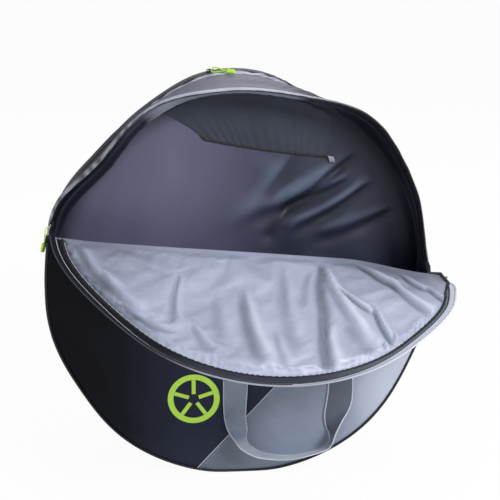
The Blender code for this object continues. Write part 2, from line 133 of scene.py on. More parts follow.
def rear_slack(angle):
    return (-0.034 * hump(angle, 137, 15) - 0.011 * hump(angle, 114, 9) - 0.018 * hump(angle, 64, 9)
            - 0.0035 * hump(angle, 13, 8))       # the slider parks here, over the tape


def no_slack(angle):
    return 0 * angle


def middle_slack(angle):
    """The wall between the zips drops on the left too."""
    return -0.014 * hump(angle, 137, 12) - 0.009 * hump(angle, 113, 9)


def pressed(angle):
    """The loaded lower half is pressed in on both sides of its foot."""
    return -0.009 * hump(angle, 211, 11) - 0.012 * hump(angle, -24, 13)


def wrinkles(angle, y):
    """Small slack folds of the wall, in metres: slanted on the right of the top, long on the sides."""
    arc = np.radians(angle) * RADIUS
    slanted = np.sin(2 * pi * (arc * 0.75 + y * 1.2) / 0.021 + 1.7 * np.sin(arc * 23))
    slanted = slanted * (hump(angle, 73, 10) + 0.45 * hump(angle, 112, 12)) * smooth(-0.1, -0.07, y)
    long_waves = np.sin(2 * pi * y / 0.047 + 2.3 * np.sin(arc * 5.1) + 0.8)
    return 0.0011 * slanted + 0.0012 * long_waves * smooth(0.125, 0.09, np.abs(y))


def soft_floor(z, ground):
    """The foot is pressed flat on the floor, and leaves it in a soft curve beside."""
    above = z - ground
    return ground + 0.5 * (above + np.sqrt(above ** 2 + FOOT_SOFTNESS ** 2))


def centre_height(angle):
    lift = smooth(-0.05, 0.05, sind(angle))
    return LOW_CENTRE + (HIGH_CENTRE - LOW_CENTRE) * lift


def rim(angle, y, inset=0.0):
    """Points of the wall at these angles (degrees from +X) and depths, this far inside its outer cloth."""
    angle, y, inset = np.broadcast_arrays(*(np.asarray(v, float) for v in (angle, y, inset)))
    turn = wrap(angle)
    to_front, to_rear = smooth(0.0, -0.1, y), smooth(0.0, 0.085, y)
    reach = RADIUS + front_slack(turn) * to_front + rear_slack(turn) * to_rear
    reach = reach + middle_slack(turn) * (1 - to_front - to_rear) + pressed(turn)
    reach = reach + wrinkles(turn, y) * smooth(0.0, 0.3, sind(turn) + 0.25)
    reach = reach - 0.004 * np.sin(pi * np.clip(np.abs(y) / 0.095, 0, 1)) ** 2
    x = (reach - inset) * cosd(turn)
    z = centre_height(turn) + (reach - inset) * sind(turn)
    return join(x, y, soft_floor(z, inset))


print("the rim's top is at z =", round(float(rim(90, 0)[2]), 3))

# %% [markdown]
# ## From a grid of points to a piece of cloth
# Cloth is a sheet, so each piece starts as rows and columns of points. A second skin a few
# millimetres behind the first gives the padding its real thickness, and a narrow wall closes
# the edge. The same grid gives the UV map in metres, which lets the weave follow the cloth.


# %% Helpers that turn grids of points into closed pieces
def path_run(path):
    """The distance along a path from its first point to each of its points."""
    return np.concatenate([[0], np.cumsum(np.linalg.norm(np.diff(path, axis=0), axis=1))])


def hoop_faces(count, sides, ring=False):
    """The faces of a row of hoops, closed by two caps or, as a ring, by joining last to first."""
    number = np.arange(count * sides).reshape(count, sides)
    following = np.roll(number, -1, 0) if ring else number[1:]
    first = number if ring else number[:-1]
    faces = join(first, np.roll(first, -1, 1), np.roll(following, -1, 1), following)
    caps = [] if ring else [number[0][::-1].tolist(), number[-1].tolist()]
    return faces.reshape(-1, 4).tolist() + caps


def select_only(piece=None):
    """Leaves this piece selected and active, or nothing selected."""
    for o in bpy.context.selected_objects:
        o.select_set(False)
    if piece is not None:
        bpy.context.view_layer.objects.active = piece
        piece.select_set(True)


def cloth_lengths(points):
    """Distances in metres along the rows and the columns, for the weave."""
    def run(p, axis):
        step = np.linalg.norm(np.diff(p, axis=axis), axis=-1)
        zero = np.zeros_like(np.take(step, [0], axis=axis))
        return np.cumsum(np.concatenate([zero, step], axis=axis), axis=axis)
    along = run(points, 0).mean(1, keepdims=True) + 0 * points[..., 0]
    across = run(points, 1).mean(0, keepdims=True) + 0 * points[..., 0]
    return join(along, across)


def new_piece(name, vertices, faces, finishes, face_finish=None, uv=None, smooth_angle=50, shade=None):
    """A mesh piece. shade, from -1 to 1 at each point, is how far the cloth is darkened by painted shade or paled
    by painted light there.
    """
    mesh = bpy.data.meshes.new(name)
    mesh.from_pydata([tuple(v) for v in vertices], [], faces)
    for finish in finishes:
        mesh.materials.append(finish)
    if face_finish is not None:
        mesh.polygons.foreach_set("material_index", np.asarray(face_finish, np.int32))
    layer = mesh.uv_layers.new(name="cloth")
    if uv is None:
        uv = np.asarray(vertices)[:, :2]
    corners = np.empty(len(mesh.loops), np.int32)
    mesh.loops.foreach_get("vertex_index", corners)
    layer.data.foreach_set("uv", np.asarray(uv, np.float32)[corners].ravel())
    if shade is not None:
        layer = mesh.attributes.new("shade", "FLOAT", "POINT")
        layer.data.foreach_set("value", np.asarray(shade, np.float32).ravel())
    mesh.validate()
    shape = bmesh.new()
    shape.from_mesh(mesh)
    if shape.calc_volume(signed=True) < 0:
        bmesh.ops.reverse_faces(shape, faces=shape.faces)
        shape.to_mesh(mesh)
    shape.free()
    piece = bpy.data.objects.new(name, mesh)
    bpy.context.scene.collection.objects.link(piece)
    select_only(piece)
    bpy.ops.object.shade_smooth_by_angle(angle=radians(smooth_angle))
    piece.select_set(False)
    return piece


def shell(name, outer, inner, finishes, ring=False, outer_finish=0, inner_finish=1, edge_finish=0, uv=None,
          shade=None):
    """A closed piece between two grids of the same size. A ring joins its last row to its first."""
    rows, columns = outer.shape[:2]
    if uv is None:
        uv = cloth_lengths(outer)
    number = np.arange(rows * columns).reshape(rows, columns)
    following = np.roll(number, -1, 0) if ring else number[1:]
    first = number if ring else number[:-1]
    quads = join(first[:, :-1], following[:, :-1], following[:, 1:], first[:, 1:]).reshape(-1, 4)
    back = quads[:, ::-1] + rows * columns
    count = rows * columns
    edges = [(first[:, 0], following[:, 0], False), (first[:, -1], following[:, -1], True)]
    if not ring:
        edges += [(number[0, :-1], number[0, 1:], True), (number[-1, :-1], number[-1, 1:], False)]
    sides = []
    for a, b, turned in edges:
        side = join(a, a + count, b + count, b)
        sides.append(side[:, ::-1] if turned else side)
    sides = np.concatenate(sides)
    faces = np.concatenate([quads, back, sides])
    painted = np.broadcast_to(np.asarray(outer_finish), first[:, :-1].shape).ravel()
    face_finish = np.concatenate([painted, np.full(len(back), inner_finish), np.full(len(sides), edge_finish)])
    points = np.concatenate([outer.reshape(-1, 3), inner.reshape(-1, 3)])
    both = np.concatenate([uv.reshape(-1, 2)] * 2)
    if shade is not None:
        shade = np.concatenate([np.broadcast_to(shade, outer.shape[:2]).ravel()] * 2)
    return new_piece(name, points, faces.tolist(), finishes, face_finish, both, shade=shade)


def tube(name, path, radius, finish, sides=8, ring=False, flat=1.0, up=None, shade=None):
    """A closed tube along a path. The radius may change from point to point."""
    path = np.asarray(path, float)
    count = len(path)
    if ring:
        along = np.roll(path, -1, 0) - np.roll(path, 1, 0)
    else:
        along = np.gradient(path, axis=0)
    along = along / np.linalg.norm(along, axis=1, keepdims=True)
    guide = np.broadcast_to(np.asarray((0.0, 1.0, 0.0) if up is None else up), path.shape)
    side = np.cross(guide, along)
    side = side / np.linalg.norm(side, axis=1, keepdims=True)
    top = np.cross(along, side)
    turn = np.linspace(0, 2 * pi, sides, endpoint=False)
    radius = np.broadcast_to(np.asarray(radius, float), (count,))[:, None, None]
    rings = path[:, None] + radius * (np.cos(turn)[None, :, None] * side[:, None]
                                      + flat * np.sin(turn)[None, :, None] * top[:, None])
    run = path_run(path)[:, None]
    uv = join(run, turn[None] * radius[..., 0]).reshape(-1, 2)
    if shade is not None:
        shade = np.repeat(shade, sides)
    faces = hoop_faces(count, sides, ring)
    return new_piece(name, rings.reshape(-1, 3), faces, [finish], None, uv, shade=shade)


def ribbed(path, pitch, low, high, per_rib=3):
    """A path cut evenly, and a radius that rises and falls once a pitch: the look of a zip's coil."""
    path = np.asarray(path, float)
    run = path_run(path)
    count = int(run[-1] / pitch * per_rib)
    at = np.linspace(0, run[-1], count)
    cut = np.stack([np.interp(at, run, path[:, k]) for k in range(3)], -1)
    return cut, low + (high - low) * (0.5 + 0.5 * np.cos(2 * pi * np.arange(count) / per_rib))


def finish_piece(piece, body, slot, *nodes):
    """Says which body the piece rides on and which CAD nodes it stands for. slot is not used."""
    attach(piece, body)
    if nodes:
        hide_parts(*nodes)
    low = np.array([v.co for v in piece.data.vertices]).min(0)
    print(f"{piece.name}: {len(piece.data.polygons)} faces, lowest point {low.round(3)}")


# %% [markdown]
# ## Finishes
# The bag is nylon: a tight plain weave with a soft sheen on the outside and a lighter,
# smoother taffeta as its lining. Nylon threads are about 0.3 mm apart, too fine to show at
# this distance, so the weave here is drawn at 1 to 2 mm. Colour is never quite even on
# cloth, so a slow cloud and a fine fleck break it up.


# %% Colour and node helpers
def colour(code):
    """An sRGB hex code as the linear colour that shaders take."""
    parts = [int(code[i:i + 2], 16) / 255 for i in (1, 3, 5)]
    return [c / 12.92 if c <= 0.04045 else ((c + 0.055) / 1.055) ** 2.4 for c in parts] + [1.0]


def add(tree, kind, inputs=None, **settings):
    """Adds a node. Each input is a constant, or another node's output to link."""
    node = tree.nodes.new(kind)
    for name, value in settings.items():
        setattr(node, name, value)
    for name, value in (inputs or {}).items():
        if isinstance(value, bpy.types.NodeSocket):
            tree.links.new(value, node.inputs[name])
        else:
            node.inputs[name].default_value = value
    return node


def new_finish(name):
    material = bpy.data.materials.new(name)
    material.use_nodes = True
    material.node_tree.nodes.clear()
    return material, material.node_tree


# %% [markdown]
# One recipe makes every cloth of the bag. The weave could be an image, but two crossed wave
# textures stay sharp at any size. A stretched noise thickens some threads, and a shade
# attribute paints shade and light into the colour: it deepens the folds, because the soft
# lamps alone leave them too flat, and darkens the shaded sides and pales the lit sides of
# some pieces.

# %% Woven nylon, used for every cloth of the bag
BAND = 2 * pi / 20       # a wave texture of scale 1 repeats after this many units


def woven_nylon(name, base, fleck, thread, weave, sheen, roughness, sheen_colour="#ffffff", slub=0.5,
                light_and_shade=None, specular=0.5, dark="#101116", pale="#d8dbe6", crumple=0.0016):
    """Plain weave. thread is its spacing as drawn, and weave its depth, both in metres.
    dark and pale are the colours of painted shade and painted light, which the piece's shade attribute leads to
    where it has one."""
    material, tree = new_finish(name)
    place = add(tree, "ShaderNodeTexCoord")
    warp = add(tree, "ShaderNodeTexWave", {"Vector": place.outputs["UV"], "Scale": BAND / thread,
               "Distortion": 0.6, "Detail": 1.0}, bands_direction="X")
    weft = add(tree, "ShaderNodeTexWave", {"Vector": place.outputs["UV"], "Scale": BAND / thread,
               "Distortion": 0.6, "Detail": 1.0}, bands_direction="Y")
    threads = add(tree, "ShaderNodeMath", {0: warp.outputs["Fac"], 1: weft.outputs["Fac"]}, operation="MULTIPLY")
    cloud = add(tree, "ShaderNodeTexNoise", {"Vector": place.outputs["Object"], "Scale": 9.0, "Detail": 4.0,
                "Roughness": 0.6})
    streak = add(tree, "ShaderNodeMapping", {"Vector": place.outputs["UV"], "Scale": (60.0, 900.0, 1.0)})
    slubs = add(tree, "ShaderNodeTexNoise", {"Vector": streak.outputs["Vector"], "Scale": 1.0, "Detail": 2.0})
    tone = add(tree, "ShaderNodeMath", {0: slubs.outputs["Fac"], 1: slub, 2: cloud.outputs["Fac"]},
               operation="MULTIPLY_ADD")
    ramp = add(tree, "ShaderNodeValToRGB", {"Fac": tone.outputs["Value"]})
    ramp.color_ramp.elements[0].position = 0.35
    ramp.color_ramp.elements[0].color = colour(base)
    ramp.color_ramp.elements[1].position = 1.0
    ramp.color_ramp.elements[1].color = colour(fleck)
    painted = ramp.outputs["Color"]
    # Painted light and shade across the piece, where the finish has it.
    if light_and_shade:
        painted = light_and_shade(tree, place, painted)
    # The shade attribute paints shade towards dark and light towards pale.
    shade = add(tree, "ShaderNodeAttribute", attribute_name="shade")
    lower = add(tree, "ShaderNodeMath", {0: shade.outputs["Fac"], 1: -1.0}, operation="MULTIPLY", use_clamp=True)
    upper = add(tree, "ShaderNodeMath", {0: shade.outputs["Fac"], 1: 1.0}, operation="MULTIPLY", use_clamp=True)
    darker = add(tree, "ShaderNodeMix", {"Factor": lower.outputs["Value"], 6: painted, 7: colour(dark)},
                 data_type="RGBA")
    paler = add(tree, "ShaderNodeMix", {"Factor": upper.outputs["Value"], 6: darker.outputs[2], 7: colour(pale)},
                data_type="RGBA")
    painted = paler.outputs[2]
    deepen = add(tree, "ShaderNodeMath", {0: threads.outputs["Value"], 1: -0.22, 2: 0.22},
                 operation="MULTIPLY_ADD")
    woven = add(tree, "ShaderNodeMix", {"Factor": deepen.outputs["Value"], 6: painted, 7: painted},
                data_type="RGBA", blend_type="MULTIPLY")
    creases = add(tree, "ShaderNodeTexNoise", {"Vector": place.outputs["Object"], "Scale": 38.0, "Detail": 5.0,
                  "Roughness": 0.55, "Distortion": 0.7})
    soft = add(tree, "ShaderNodeBump", {"Height": creases.outputs["Fac"], "Strength": 0.35, "Distance": crumple})
    bump = add(tree, "ShaderNodeBump", {"Height": threads.outputs["Value"], "Strength": 0.6, "Distance": weave,
               "Normal": soft.outputs["Normal"]})
    rough = add(tree, "ShaderNodeMapRange", {"Value": cloud.outputs["Fac"], "To Min": roughness - 0.06,
                "To Max": roughness + 0.08})
    shader = add(tree, "ShaderNodeBsdfPrincipled", {"Base Color": woven.outputs[2],
                 "Roughness": rough.outputs["Result"], "Normal": bump.outputs["Normal"]})
    shader.inputs["Sheen Weight"].default_value = sheen
    shader.inputs["Sheen Roughness"].default_value = 0.35
    shader.inputs["Sheen Tint"].default_value = colour(sheen_colour)
    shader.inputs["Specular IOR Level"].default_value = specular
    add(tree, "ShaderNodeOutputMaterial", {"Surface": shader.outputs["BSDF"]})
    return material


def divider_light_and_shade(tree, place, painted):
    """Painted light and shade: the divider is painted paler and violet on the left, where light falls in, and
    darker blue-grey on the right, in the wall's shadow.
    """
    apart = add(tree, "ShaderNodeSeparateXYZ", {"Vector": place.outputs["Object"]})
    side = add(tree, "ShaderNodeMapRange", {"Value": apart.outputs["X"], "From Min": -0.12, "From Max": 0.10})
    mixed = add(tree, "ShaderNodeMix", {"Factor": side.outputs["Result"], 6: colour("#6b6a84"),
                7: colour("#1c2638")}, data_type="RGBA")
    both = add(tree, "ShaderNodeMix", {"Factor": 0.7, 6: painted, 7: mixed.outputs[2]}, data_type="RGBA")
    return both.outputs[2]


BLACK_NYLON = woven_nylon("black woven nylon", "#0b0d15", "#151823", 0.0016, 0.00025, 0.03, 0.6, "#6f7cb0",
                          specular=0.13, dark="#05050d", pale="#363b52")
CHARCOAL_NYLON = woven_nylon("charcoal woven nylon", "#3c3d4b", "#5a5c6c", 0.0016, 0.0003, 0.04, 0.5, "#9da3c8",
                             specular=0.15, dark="#090b17", pale="#8d8fa3")
GREY_NYLON = woven_nylon("blue-grey woven nylon", "#717c8e", "#8d97aa", 0.0016, 0.00025, 0.25, 0.5,
                         dark="#3a4352", pale="#cfd6e6")
LINING_TAFFETA = woven_nylon("pale grey nylon taffeta", "#9aa1b6", "#b1b8cd", 0.0011, 0.00012, 0.2, 0.38,
                             dark="#343747", pale="#eceffa", crumple=0.0034)
BLACK_SATIN = woven_nylon("black satin lining", "#090a0e", "#14161e", 0.0012, 0.0001, 0.35, 0.3, "#7f8bb0")
# The divider's cloth takes painted light on its left and painted shade on its right.
DIVIDER_TAFFETA = woven_nylon("violet nylon taffeta", "#3f3b52", "#524e68", 0.0012, 0.00015, 0.08, 0.38, "#9aa3c4",
                              light_and_shade=divider_light_and_shade, specular=0.35, dark="#10131c", pale="#75849c")
BLACK_TAPE = woven_nylon("black grosgrain tape", "#0c0d12", "#181921", 0.0013, 0.0003, 0.1, 0.6)
SATIN_TAPE = woven_nylon("grey satin zip tape", "#5a5f6d", "#a3a9ba", 0.0012, 0.0003, 0.35, 0.3, slub=0.9,
                         dark="#14151b")
EDGE_GREY = woven_nylon("grey edge piping", "#80838f", "#9b9eaa", 0.0012, 0.0003, 0.1, 0.5, dark="#4a4d5a")
COVER_TAPE = woven_nylon("slate zip tape", "#2e303b", "#3e414d", 0.0012, 0.0003, 0.06, 0.5, specular=0.2,
                        dark="#0b0c11", pale="#868b9c")
PALE_EDGE = woven_nylon("grey nylon cover edge", "#8f93a1", "#a4a8b6", 0.0014, 0.0002, 0.04, 0.5, specular=0.25,
                        dark="#12151e", pale="#cdd1dc")
WEBBING = woven_nylon("grey ribbed webbing", "#6f7b8d", "#8f9bae", 0.0021, 0.0006, 0.25, 0.45, dark="#3a4352",
                      pale="#c2c9d6")
SELVEDGE = woven_nylon("pale webbing selvedge", "#a9b1bf", "#c6cdd9", 0.0021, 0.0003, 0.2, 0.45)
POCKET_NYLON = woven_nylon("blue-black nylon", "#20242e", "#353b49", 0.0016, 0.0002, 0.05, 0.45, specular=0.3,
                           slub=0.8)
LIME_PRINT = woven_nylon("lime screen print", "#bdee40", "#cdf564", 0.0016, 0.0002, 0.0, 0.45)


# %% [markdown]
# The zip's coil is moulded nylon, its slider is die-cast zinc with a black coat, and the pull
# is a lime cord with a moulded rubber end. These are smooth, so a fine noise in roughness
# and a shallow bump are enough to keep them from looking like plain plastic.


# %% Moulded and metal finishes
def moulded(name, base, worn, roughness, grain, depth, metal=0.0):
    material, tree = new_finish(name)
    place = add(tree, "ShaderNodeTexCoord")
    speck = add(tree, "ShaderNodeTexNoise", {"Vector": place.outputs["Object"], "Scale": 1 / grain, "Detail": 3.0})
    patch = add(tree, "ShaderNodeTexNoise", {"Vector": place.outputs["Object"], "Scale": 90.0, "Detail": 4.0})
    mixed = add(tree, "ShaderNodeMix", {"Factor": patch.outputs["Fac"], 6: colour(base), 7: colour(worn)},
                data_type="RGBA")
    rough = add(tree, "ShaderNodeMapRange", {"Value": patch.outputs["Fac"], "To Min": roughness - 0.08,
                "To Max": roughness + 0.12})
    bump = add(tree, "ShaderNodeBump", {"Height": speck.outputs["Fac"], "Strength": 0.5, "Distance": depth})
    shader = add(tree, "ShaderNodeBsdfPrincipled", {"Base Color": mixed.outputs[2], "Metallic": metal,
                 "Roughness": rough.outputs["Result"], "Normal": bump.outputs["Normal"]})
    add(tree, "ShaderNodeOutputMaterial", {"Surface": shader.outputs["BSDF"]})
    return material


COIL_NYLON = moulded("black nylon coil", "#0d0e12", "#1c1d23", 0.4, 0.0006, 0.00008)
BLACK_ZINC = moulded("black coated zinc", "#141518", "#2c2d31", 0.38, 0.0008, 0.00006, metal=0.6)
STEEL_WIRE = moulded("steel wire", "#9b9ca0", "#c4c5c8", 0.3, 0.0008, 0.00004, metal=1.0)
LIME_CORD = moulded("lime knitted cord", "#9bd22a", "#c3ee5a", 0.55, 0.0009, 0.0004)
LIME_RUBBER = moulded("lime moulded rubber", "#a5dc30", "#b9ea52", 0.42, 0.0012, 0.00008)

for node_name, finish in {
    "front_slider_body": BLACK_ZINC, "rear_slider_body": BLACK_ZINC, "front_slider_bridge": BLACK_ZINC,
    "rear_slider_bridge": BLACK_ZINC, "front_pull_loop": STEEL_WIRE, "rear_pull_loop": STEEL_WIRE,
}.items():
    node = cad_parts[node_name]
    for slot_index in range(len(node.material_slots)):
        node.material_slots[slot_index].material = finish

# %% [markdown]
# ## The padded wall
# The wall is one long padded strip, cloth outside and satin inside, sewn round both discs.
# It is made as a ring of points that follows the rim. In front and behind it ends at the
# zips over the top, and reaches the discs below the folds where the covers hinge.

# %% The wall, from zip to zip
FRONT_FOLD = (165.0, 4.0)        # degrees, left and right ends of the front cover's fold
REAR_FOLD = (172.0, 8.0)
SEWN_EDGE = 0.1205               # where the wall meets a disc, from the middle
FRONT_ZIP, REAR_ZIP = 0.0945, 0.0765        # where it ends at each zip


def over_the_top(angle, fold, soft=1.5):
    """1 between a fold's two ends, over the top, and 0 below it."""
    turn = wrap(angle)
    return smooth(fold[1] - soft, fold[1] + soft, turn) * smooth(fold[0] + soft, fold[0] - soft, turn)


wall_angles = np.arange(0, 360, 1.0)[:, None]
front_edge = -SEWN_EDGE + (SEWN_EDGE - FRONT_ZIP) * over_the_top(wall_angles, FRONT_FOLD)
rear_edge = SEWN_EDGE - (SEWN_EDGE - REAR_ZIP) * over_the_top(wall_angles, REAR_FOLD)
share = np.linspace(0, 1, 73)[None]
wall_depths = front_edge + (rear_edge - front_edge) * share
turned = wrap(wall_angles)
inner_streaks = 0.0035 * np.sin(2 * pi * (wall_depths + 0.01) / 0.052 + 0.9 * np.sin(np.radians(turned) * 6))
inner_streaks = inner_streaks * (hump(turned, 38, 20) + 0.7 * hump(turned, 140, 22))
in_front = np.sin(pi * np.clip((0.004 - wall_depths) / 0.1, 0, 1)) ** 0.8
baggy = 0.020 * hump(turned, 143, 17) * in_front         # the satin lining hangs slack on the left
baggy = baggy * (1 + 0.03 * np.sin(np.radians(turned) * 23 + 3 * np.sin(np.radians(turned) * 11)))
wall_outer = rim(wall_angles, wall_depths)
wall_inner = rim(wall_angles, wall_depths, WALL + 0.0035 * smooth(0.0, 0.2, share * (1 - share) * 4)
                 + (inner_streaks + baggy) * smooth(0.0, 0.3, share * (1 - share) * 4))
wall_uv = join(np.radians(wall_angles) * RADIUS, wall_depths)
# Painted shade darkens the wall's sides, and painted light pales its top.
wall_shade = -0.85 + 1.35 * smooth(60, 76, turned) * smooth(134, 110, turned) + 0 * wall_depths
wall = shell("padded_wall", wall_outer, wall_inner, [CHARCOAL_NYLON, BLACK_SATIN], ring=True, uv=wall_uv,
             shade=wall_shade)
finish_piece(wall, "bag", "black_cloth", "gusset_outer", "gusset_foam_front", "gusset_foam_rear",
             "gusset_lining_front", "gusset_lining_rear")

# %% [markdown]
# ## The zips on the wall
# A zip is two woven tapes, each with a nylon coil sewn along its edge. With the cover open,
# the front tape hangs free along the rim. It leans inwards on the left, where the
# photograph shows its pale satin face.


# %% Zip tapes and coils on the wall
TAPE_THICKNESS = 0.0009


def front_lean(angle):
    return 0.005 * hump(angle, 142, 10) + 0.002 + 0.0012 * hump(angle, 161, 4)


def rim_tape(name, first, last, near, far, lean, thickness, finish, shade=no_slack, step=0.75):
    """A tape round the rim between two depths. Its far edge leans inwards by lean."""
    angles = np.arange(first, last + step / 2, step)[:, None]
    across = np.linspace(0, 1, 5)[None]
    inset = -0.0007 + lean(angles) * across ** 1.5
    ripple = 0.0008 * np.sin(np.radians(angles) * 43 + 2 * np.sin(np.radians(angles) * 9)) * across
    outer = rim(angles, near + (far - near) * across, inset + ripple)
    inner = rim(angles, near + (far - near) * across, inset + ripple + thickness)
    if far < near:
        outer, inner = outer[:, ::-1], inner[:, ::-1]
    return shell(name, outer, inner, [finish], inner_finish=0, shade=shade(angles))


# The front tape's shade is painted: dark on the right, and dark on the left in streaks between paler painted satin
# highlights.
front_tape = rim_tape("front_zip_wall_tape", 4.6, 164.4, -0.0915, -0.1024, front_lean, TAPE_THICKNESS, SATIN_TAPE,
                      lambda a: (-0.9 * smooth(76, 60, a) - smooth(112, 126, a)
                                 * (0.42 + 0.40 * np.sin(np.radians(a) * 67 + 2.5 * np.sin(np.radians(a) * 23)))))
finish_piece(front_tape, "bag", "zip_tape", "front_zip_gusset_tape")
rear_tape = rim_tape("rear_zip_wall_tape", 8.6, 171.4, 0.0735, 0.0844, no_slack, TAPE_THICKNESS, SATIN_TAPE)
finish_piece(rear_tape, "bag", "zip_tape", "rear_zip_gusset_tape")
rear_cover_tape = rim_tape("rear_zip_cover_tape_cloth", 8.6, 171.4, 0.0965, 0.0856, no_slack, TAPE_THICKNESS,
                           BLACK_TAPE)
finish_piece(rear_cover_tape, "rear_cover", "zip_tape", "rear_zip_cover_tape")

COIL_PITCH = 0.0022      # real coils repeat every 1.2 mm, drawn coarser so that they show
rim_steps = {"front": np.arange(4.8, 164.3, 0.5), "rear": np.arange(8.8, 171.3, 0.5)}
front_coil_path = rim(rim_steps["front"], -0.1016, 0.0004 + front_lean(rim_steps["front"]))
rear_coil_path = rim(rim_steps["rear"], 0.0834, 0.0006)
rear_cover_coil_path = rim(rim_steps["rear"], 0.0866, 0.0006)
for coil_name, coil_path, body, old in (
    ("front_zip_wall_coil", front_coil_path, "bag", "front_zip_gusset_coil"),
    ("rear_zip_wall_coil", rear_coil_path, "bag", "rear_zip_gusset_coil"),
    ("rear_zip_cover_coil_row", rear_cover_coil_path, "rear_cover", "rear_zip_cover_coil"),
):
    cut, radii = ribbed(coil_path, COIL_PITCH, 0.0009, 0.0014)
    finish_piece(tube(coil_name, cut, radii, COIL_NYLON, sides=6), body, "zip_coil", old)

# %% [markdown]
# A short tab of tape is sewn over each end of both zips. A flattened cube could do it, but
# the wall is curved, so each tab is a small grid laid on the rim and puffed a little.

# %% Cloth tabs over the zips' ends
for tab_name, first, last, near, far, old in (
    ("front_left_end_tab", 164.4, 167.8, -0.113, -0.093, "front_zip_end_tab_left"),
    ("front_right_end_tab", 0.6, 4.0, -0.113, -0.093, "front_zip_end_tab_right"),
    ("rear_left_end_tab", 172.3, 175.5, 0.075, 0.095, "rear_zip_end_tab_left"),
    ("rear_right_end_tab", 4.5, 7.7, 0.075, 0.095, "rear_zip_end_tab_right"),
):
    angles = np.linspace(first, last, 9)[:, None]
    across = np.linspace(0, 1, 9)[None]
    puff = 0.0007 * np.sin(pi * np.linspace(0, 1, 9))[:, None] * np.sin(pi * across)
    depths = near + (far - near) * across + 0 * angles
    tab = shell(tab_name, rim(angles, depths, -0.0012 - puff), rim(angles, depths, -0.0002 + 0 * puff),
                [BLACK_TAPE], inner_finish=0)
    finish_piece(tab, "bag", "black_trim", old)

# %% [markdown]
# ## The divider
# A padded disc across the middle parts the two compartments. Its right half is pulled
# into deep slanting folds. A fold is written as a line with a width and a depth, and
# the surface sinks along it and rises beside it, as cloth does.


# %% Folds, written as lines
def resample(rows_of_numbers, count):
    """A smooth curve through the rows (Catmull-Rom), cut into count even steps of its parameter."""
    data = np.asarray(rows_of_numbers, float)
    data = np.concatenate([[2 * data[0] - data[1]], data, [2 * data[-1] - data[-2]]])
    at = np.linspace(0, len(data) - 3 - 1e-9, count)
    k = at.astype(int)
    t = (at - k)[:, None]
    p0, p1, p2, p3 = data[k], data[k + 1], data[k + 2], data[k + 3]
    return 0.5 * (2 * p1 + (p2 - p0) * t + (2 * p0 - 5 * p1 + 4 * p2 - p3) * t ** 2
                  + (3 * p1 - p0 - 3 * p2 + p3) * t ** 3)


def fold_relief(x, z, folds):
    """Height of the cloth at x, z. Each fold is x0, z0, x1, z1, width, depth, ridge beside it."""
    height = np.zeros(np.broadcast(x, z).shape)
    for x0, z0, x1, z1, width, depth, ridge in folds:
        length = np.hypot(x1 - x0, z1 - z0)
        ux, uz = (x1 - x0) / length, (z1 - z0) / length
        along = ((x - x0) * ux + (z - z0) * uz) / length
        bow = 0.12 * length * np.sin(pi * np.clip(along, 0, 1)) * 0.3
        aside = (x - x0) * uz - (z - z0) * ux + bow
        fade = smooth(-0.25, 0.15, along) * smooth(1.25, 0.85, along)
        spread = width * (0.7 + 0.5 * np.clip(along, 0, 1))
        height += fade * (-depth * hump(aside, 0, spread) + ridge * hump(aside, 1.9 * spread, 1.1 * spread))
    return height


def swell(x, z, size, seed):
    """A gentle uneven swell, from a few crossed waves."""
    total = 0
    for k in range(5):
        turn = seed * 1.7 + k * 2.4
        across = x * np.cos(turn) + z * np.sin(turn)
        total = total + np.sin(across * (2 * pi / size) * (0.7 + 0.27 * k) + seed + k * k)
    return total / 5


# %% [markdown]
# The divider is sewn into the wall by a bound edge. Blender's own disc has a pole in its
# middle, where folds would pinch, so its points are an even grid that is bent to the round.

# %% The divider pad and its bound edge
DIVIDER_HALF = 0.0028
DIVIDER_FOLDS = (
    (0.217, 0.589, 0.054, 0.479, 0.010, 0.0085, 0.006),
    (0.208, 0.545, 0.103, 0.498, 0.011, 0.0080, 0.006),
    (0.103, 0.498, 0.060, 0.440, 0.010, 0.0050, 0.003),
    (0.250, 0.534, 0.127, 0.457, 0.009, 0.0075, 0.005),
    (0.124, 0.615, 0.008, 0.453, 0.012, 0.0040, 0.003),
    (0.292, 0.481, 0.165, 0.433, 0.010, 0.0050, 0.003),
    (-0.10, 0.60, -0.16, 0.44, 0.020, 0.0020, 0.001),
    (-0.20, 0.52, -0.24, 0.40, 0.020, 0.0018, 0.001),
)
DISC_MIDDLE = (LOW_CENTRE + HIGH_CENTRE) / 2


def disc_grid(steps, inset, y):
    """An even grid of points over the whole round at one depth, without a pole."""
    line = np.linspace(-1, 1, steps)
    u, v = np.meshgrid(line, line, indexing="ij")
    a, b = u * np.sqrt(1 - v * v / 2), v * np.sqrt(1 - u * u / 2)
    angle, fraction = np.degrees(np.arctan2(b, a)), np.hypot(a, b)
    edge = rim(angle, y, inset)
    middle = np.array((0.0, y, DISC_MIDDLE))
    return middle + (edge - middle) * fraction[..., None], fraction


flat_disc, disc_fraction = disc_grid(181, 0.0085, 0.0)
calm = smooth(1.0, 0.86, disc_fraction)
relief = fold_relief(flat_disc[..., 0], flat_disc[..., 2], DIVIDER_FOLDS)
relief = (relief + 0.0016 * swell(flat_disc[..., 0], flat_disc[..., 2], 0.16, 2.0)) * calm
under_pocket = smooth(0.635, 0.585, flat_disc[..., 2] + 0.16 * flat_disc[..., 0])
relief = np.where(relief > 0, relief * (0.2 + 0.8 * under_pocket), relief)
divider_front = flat_disc.copy()
divider_back = flat_disc.copy()
divider_front[..., 1] = -DIVIDER_HALF * smooth(1.02, 0.94, disc_fraction) - 0.0004 - relief
divider_back[..., 1] = DIVIDER_HALF * smooth(1.02, 0.94, disc_fraction) + 0.0004 - relief
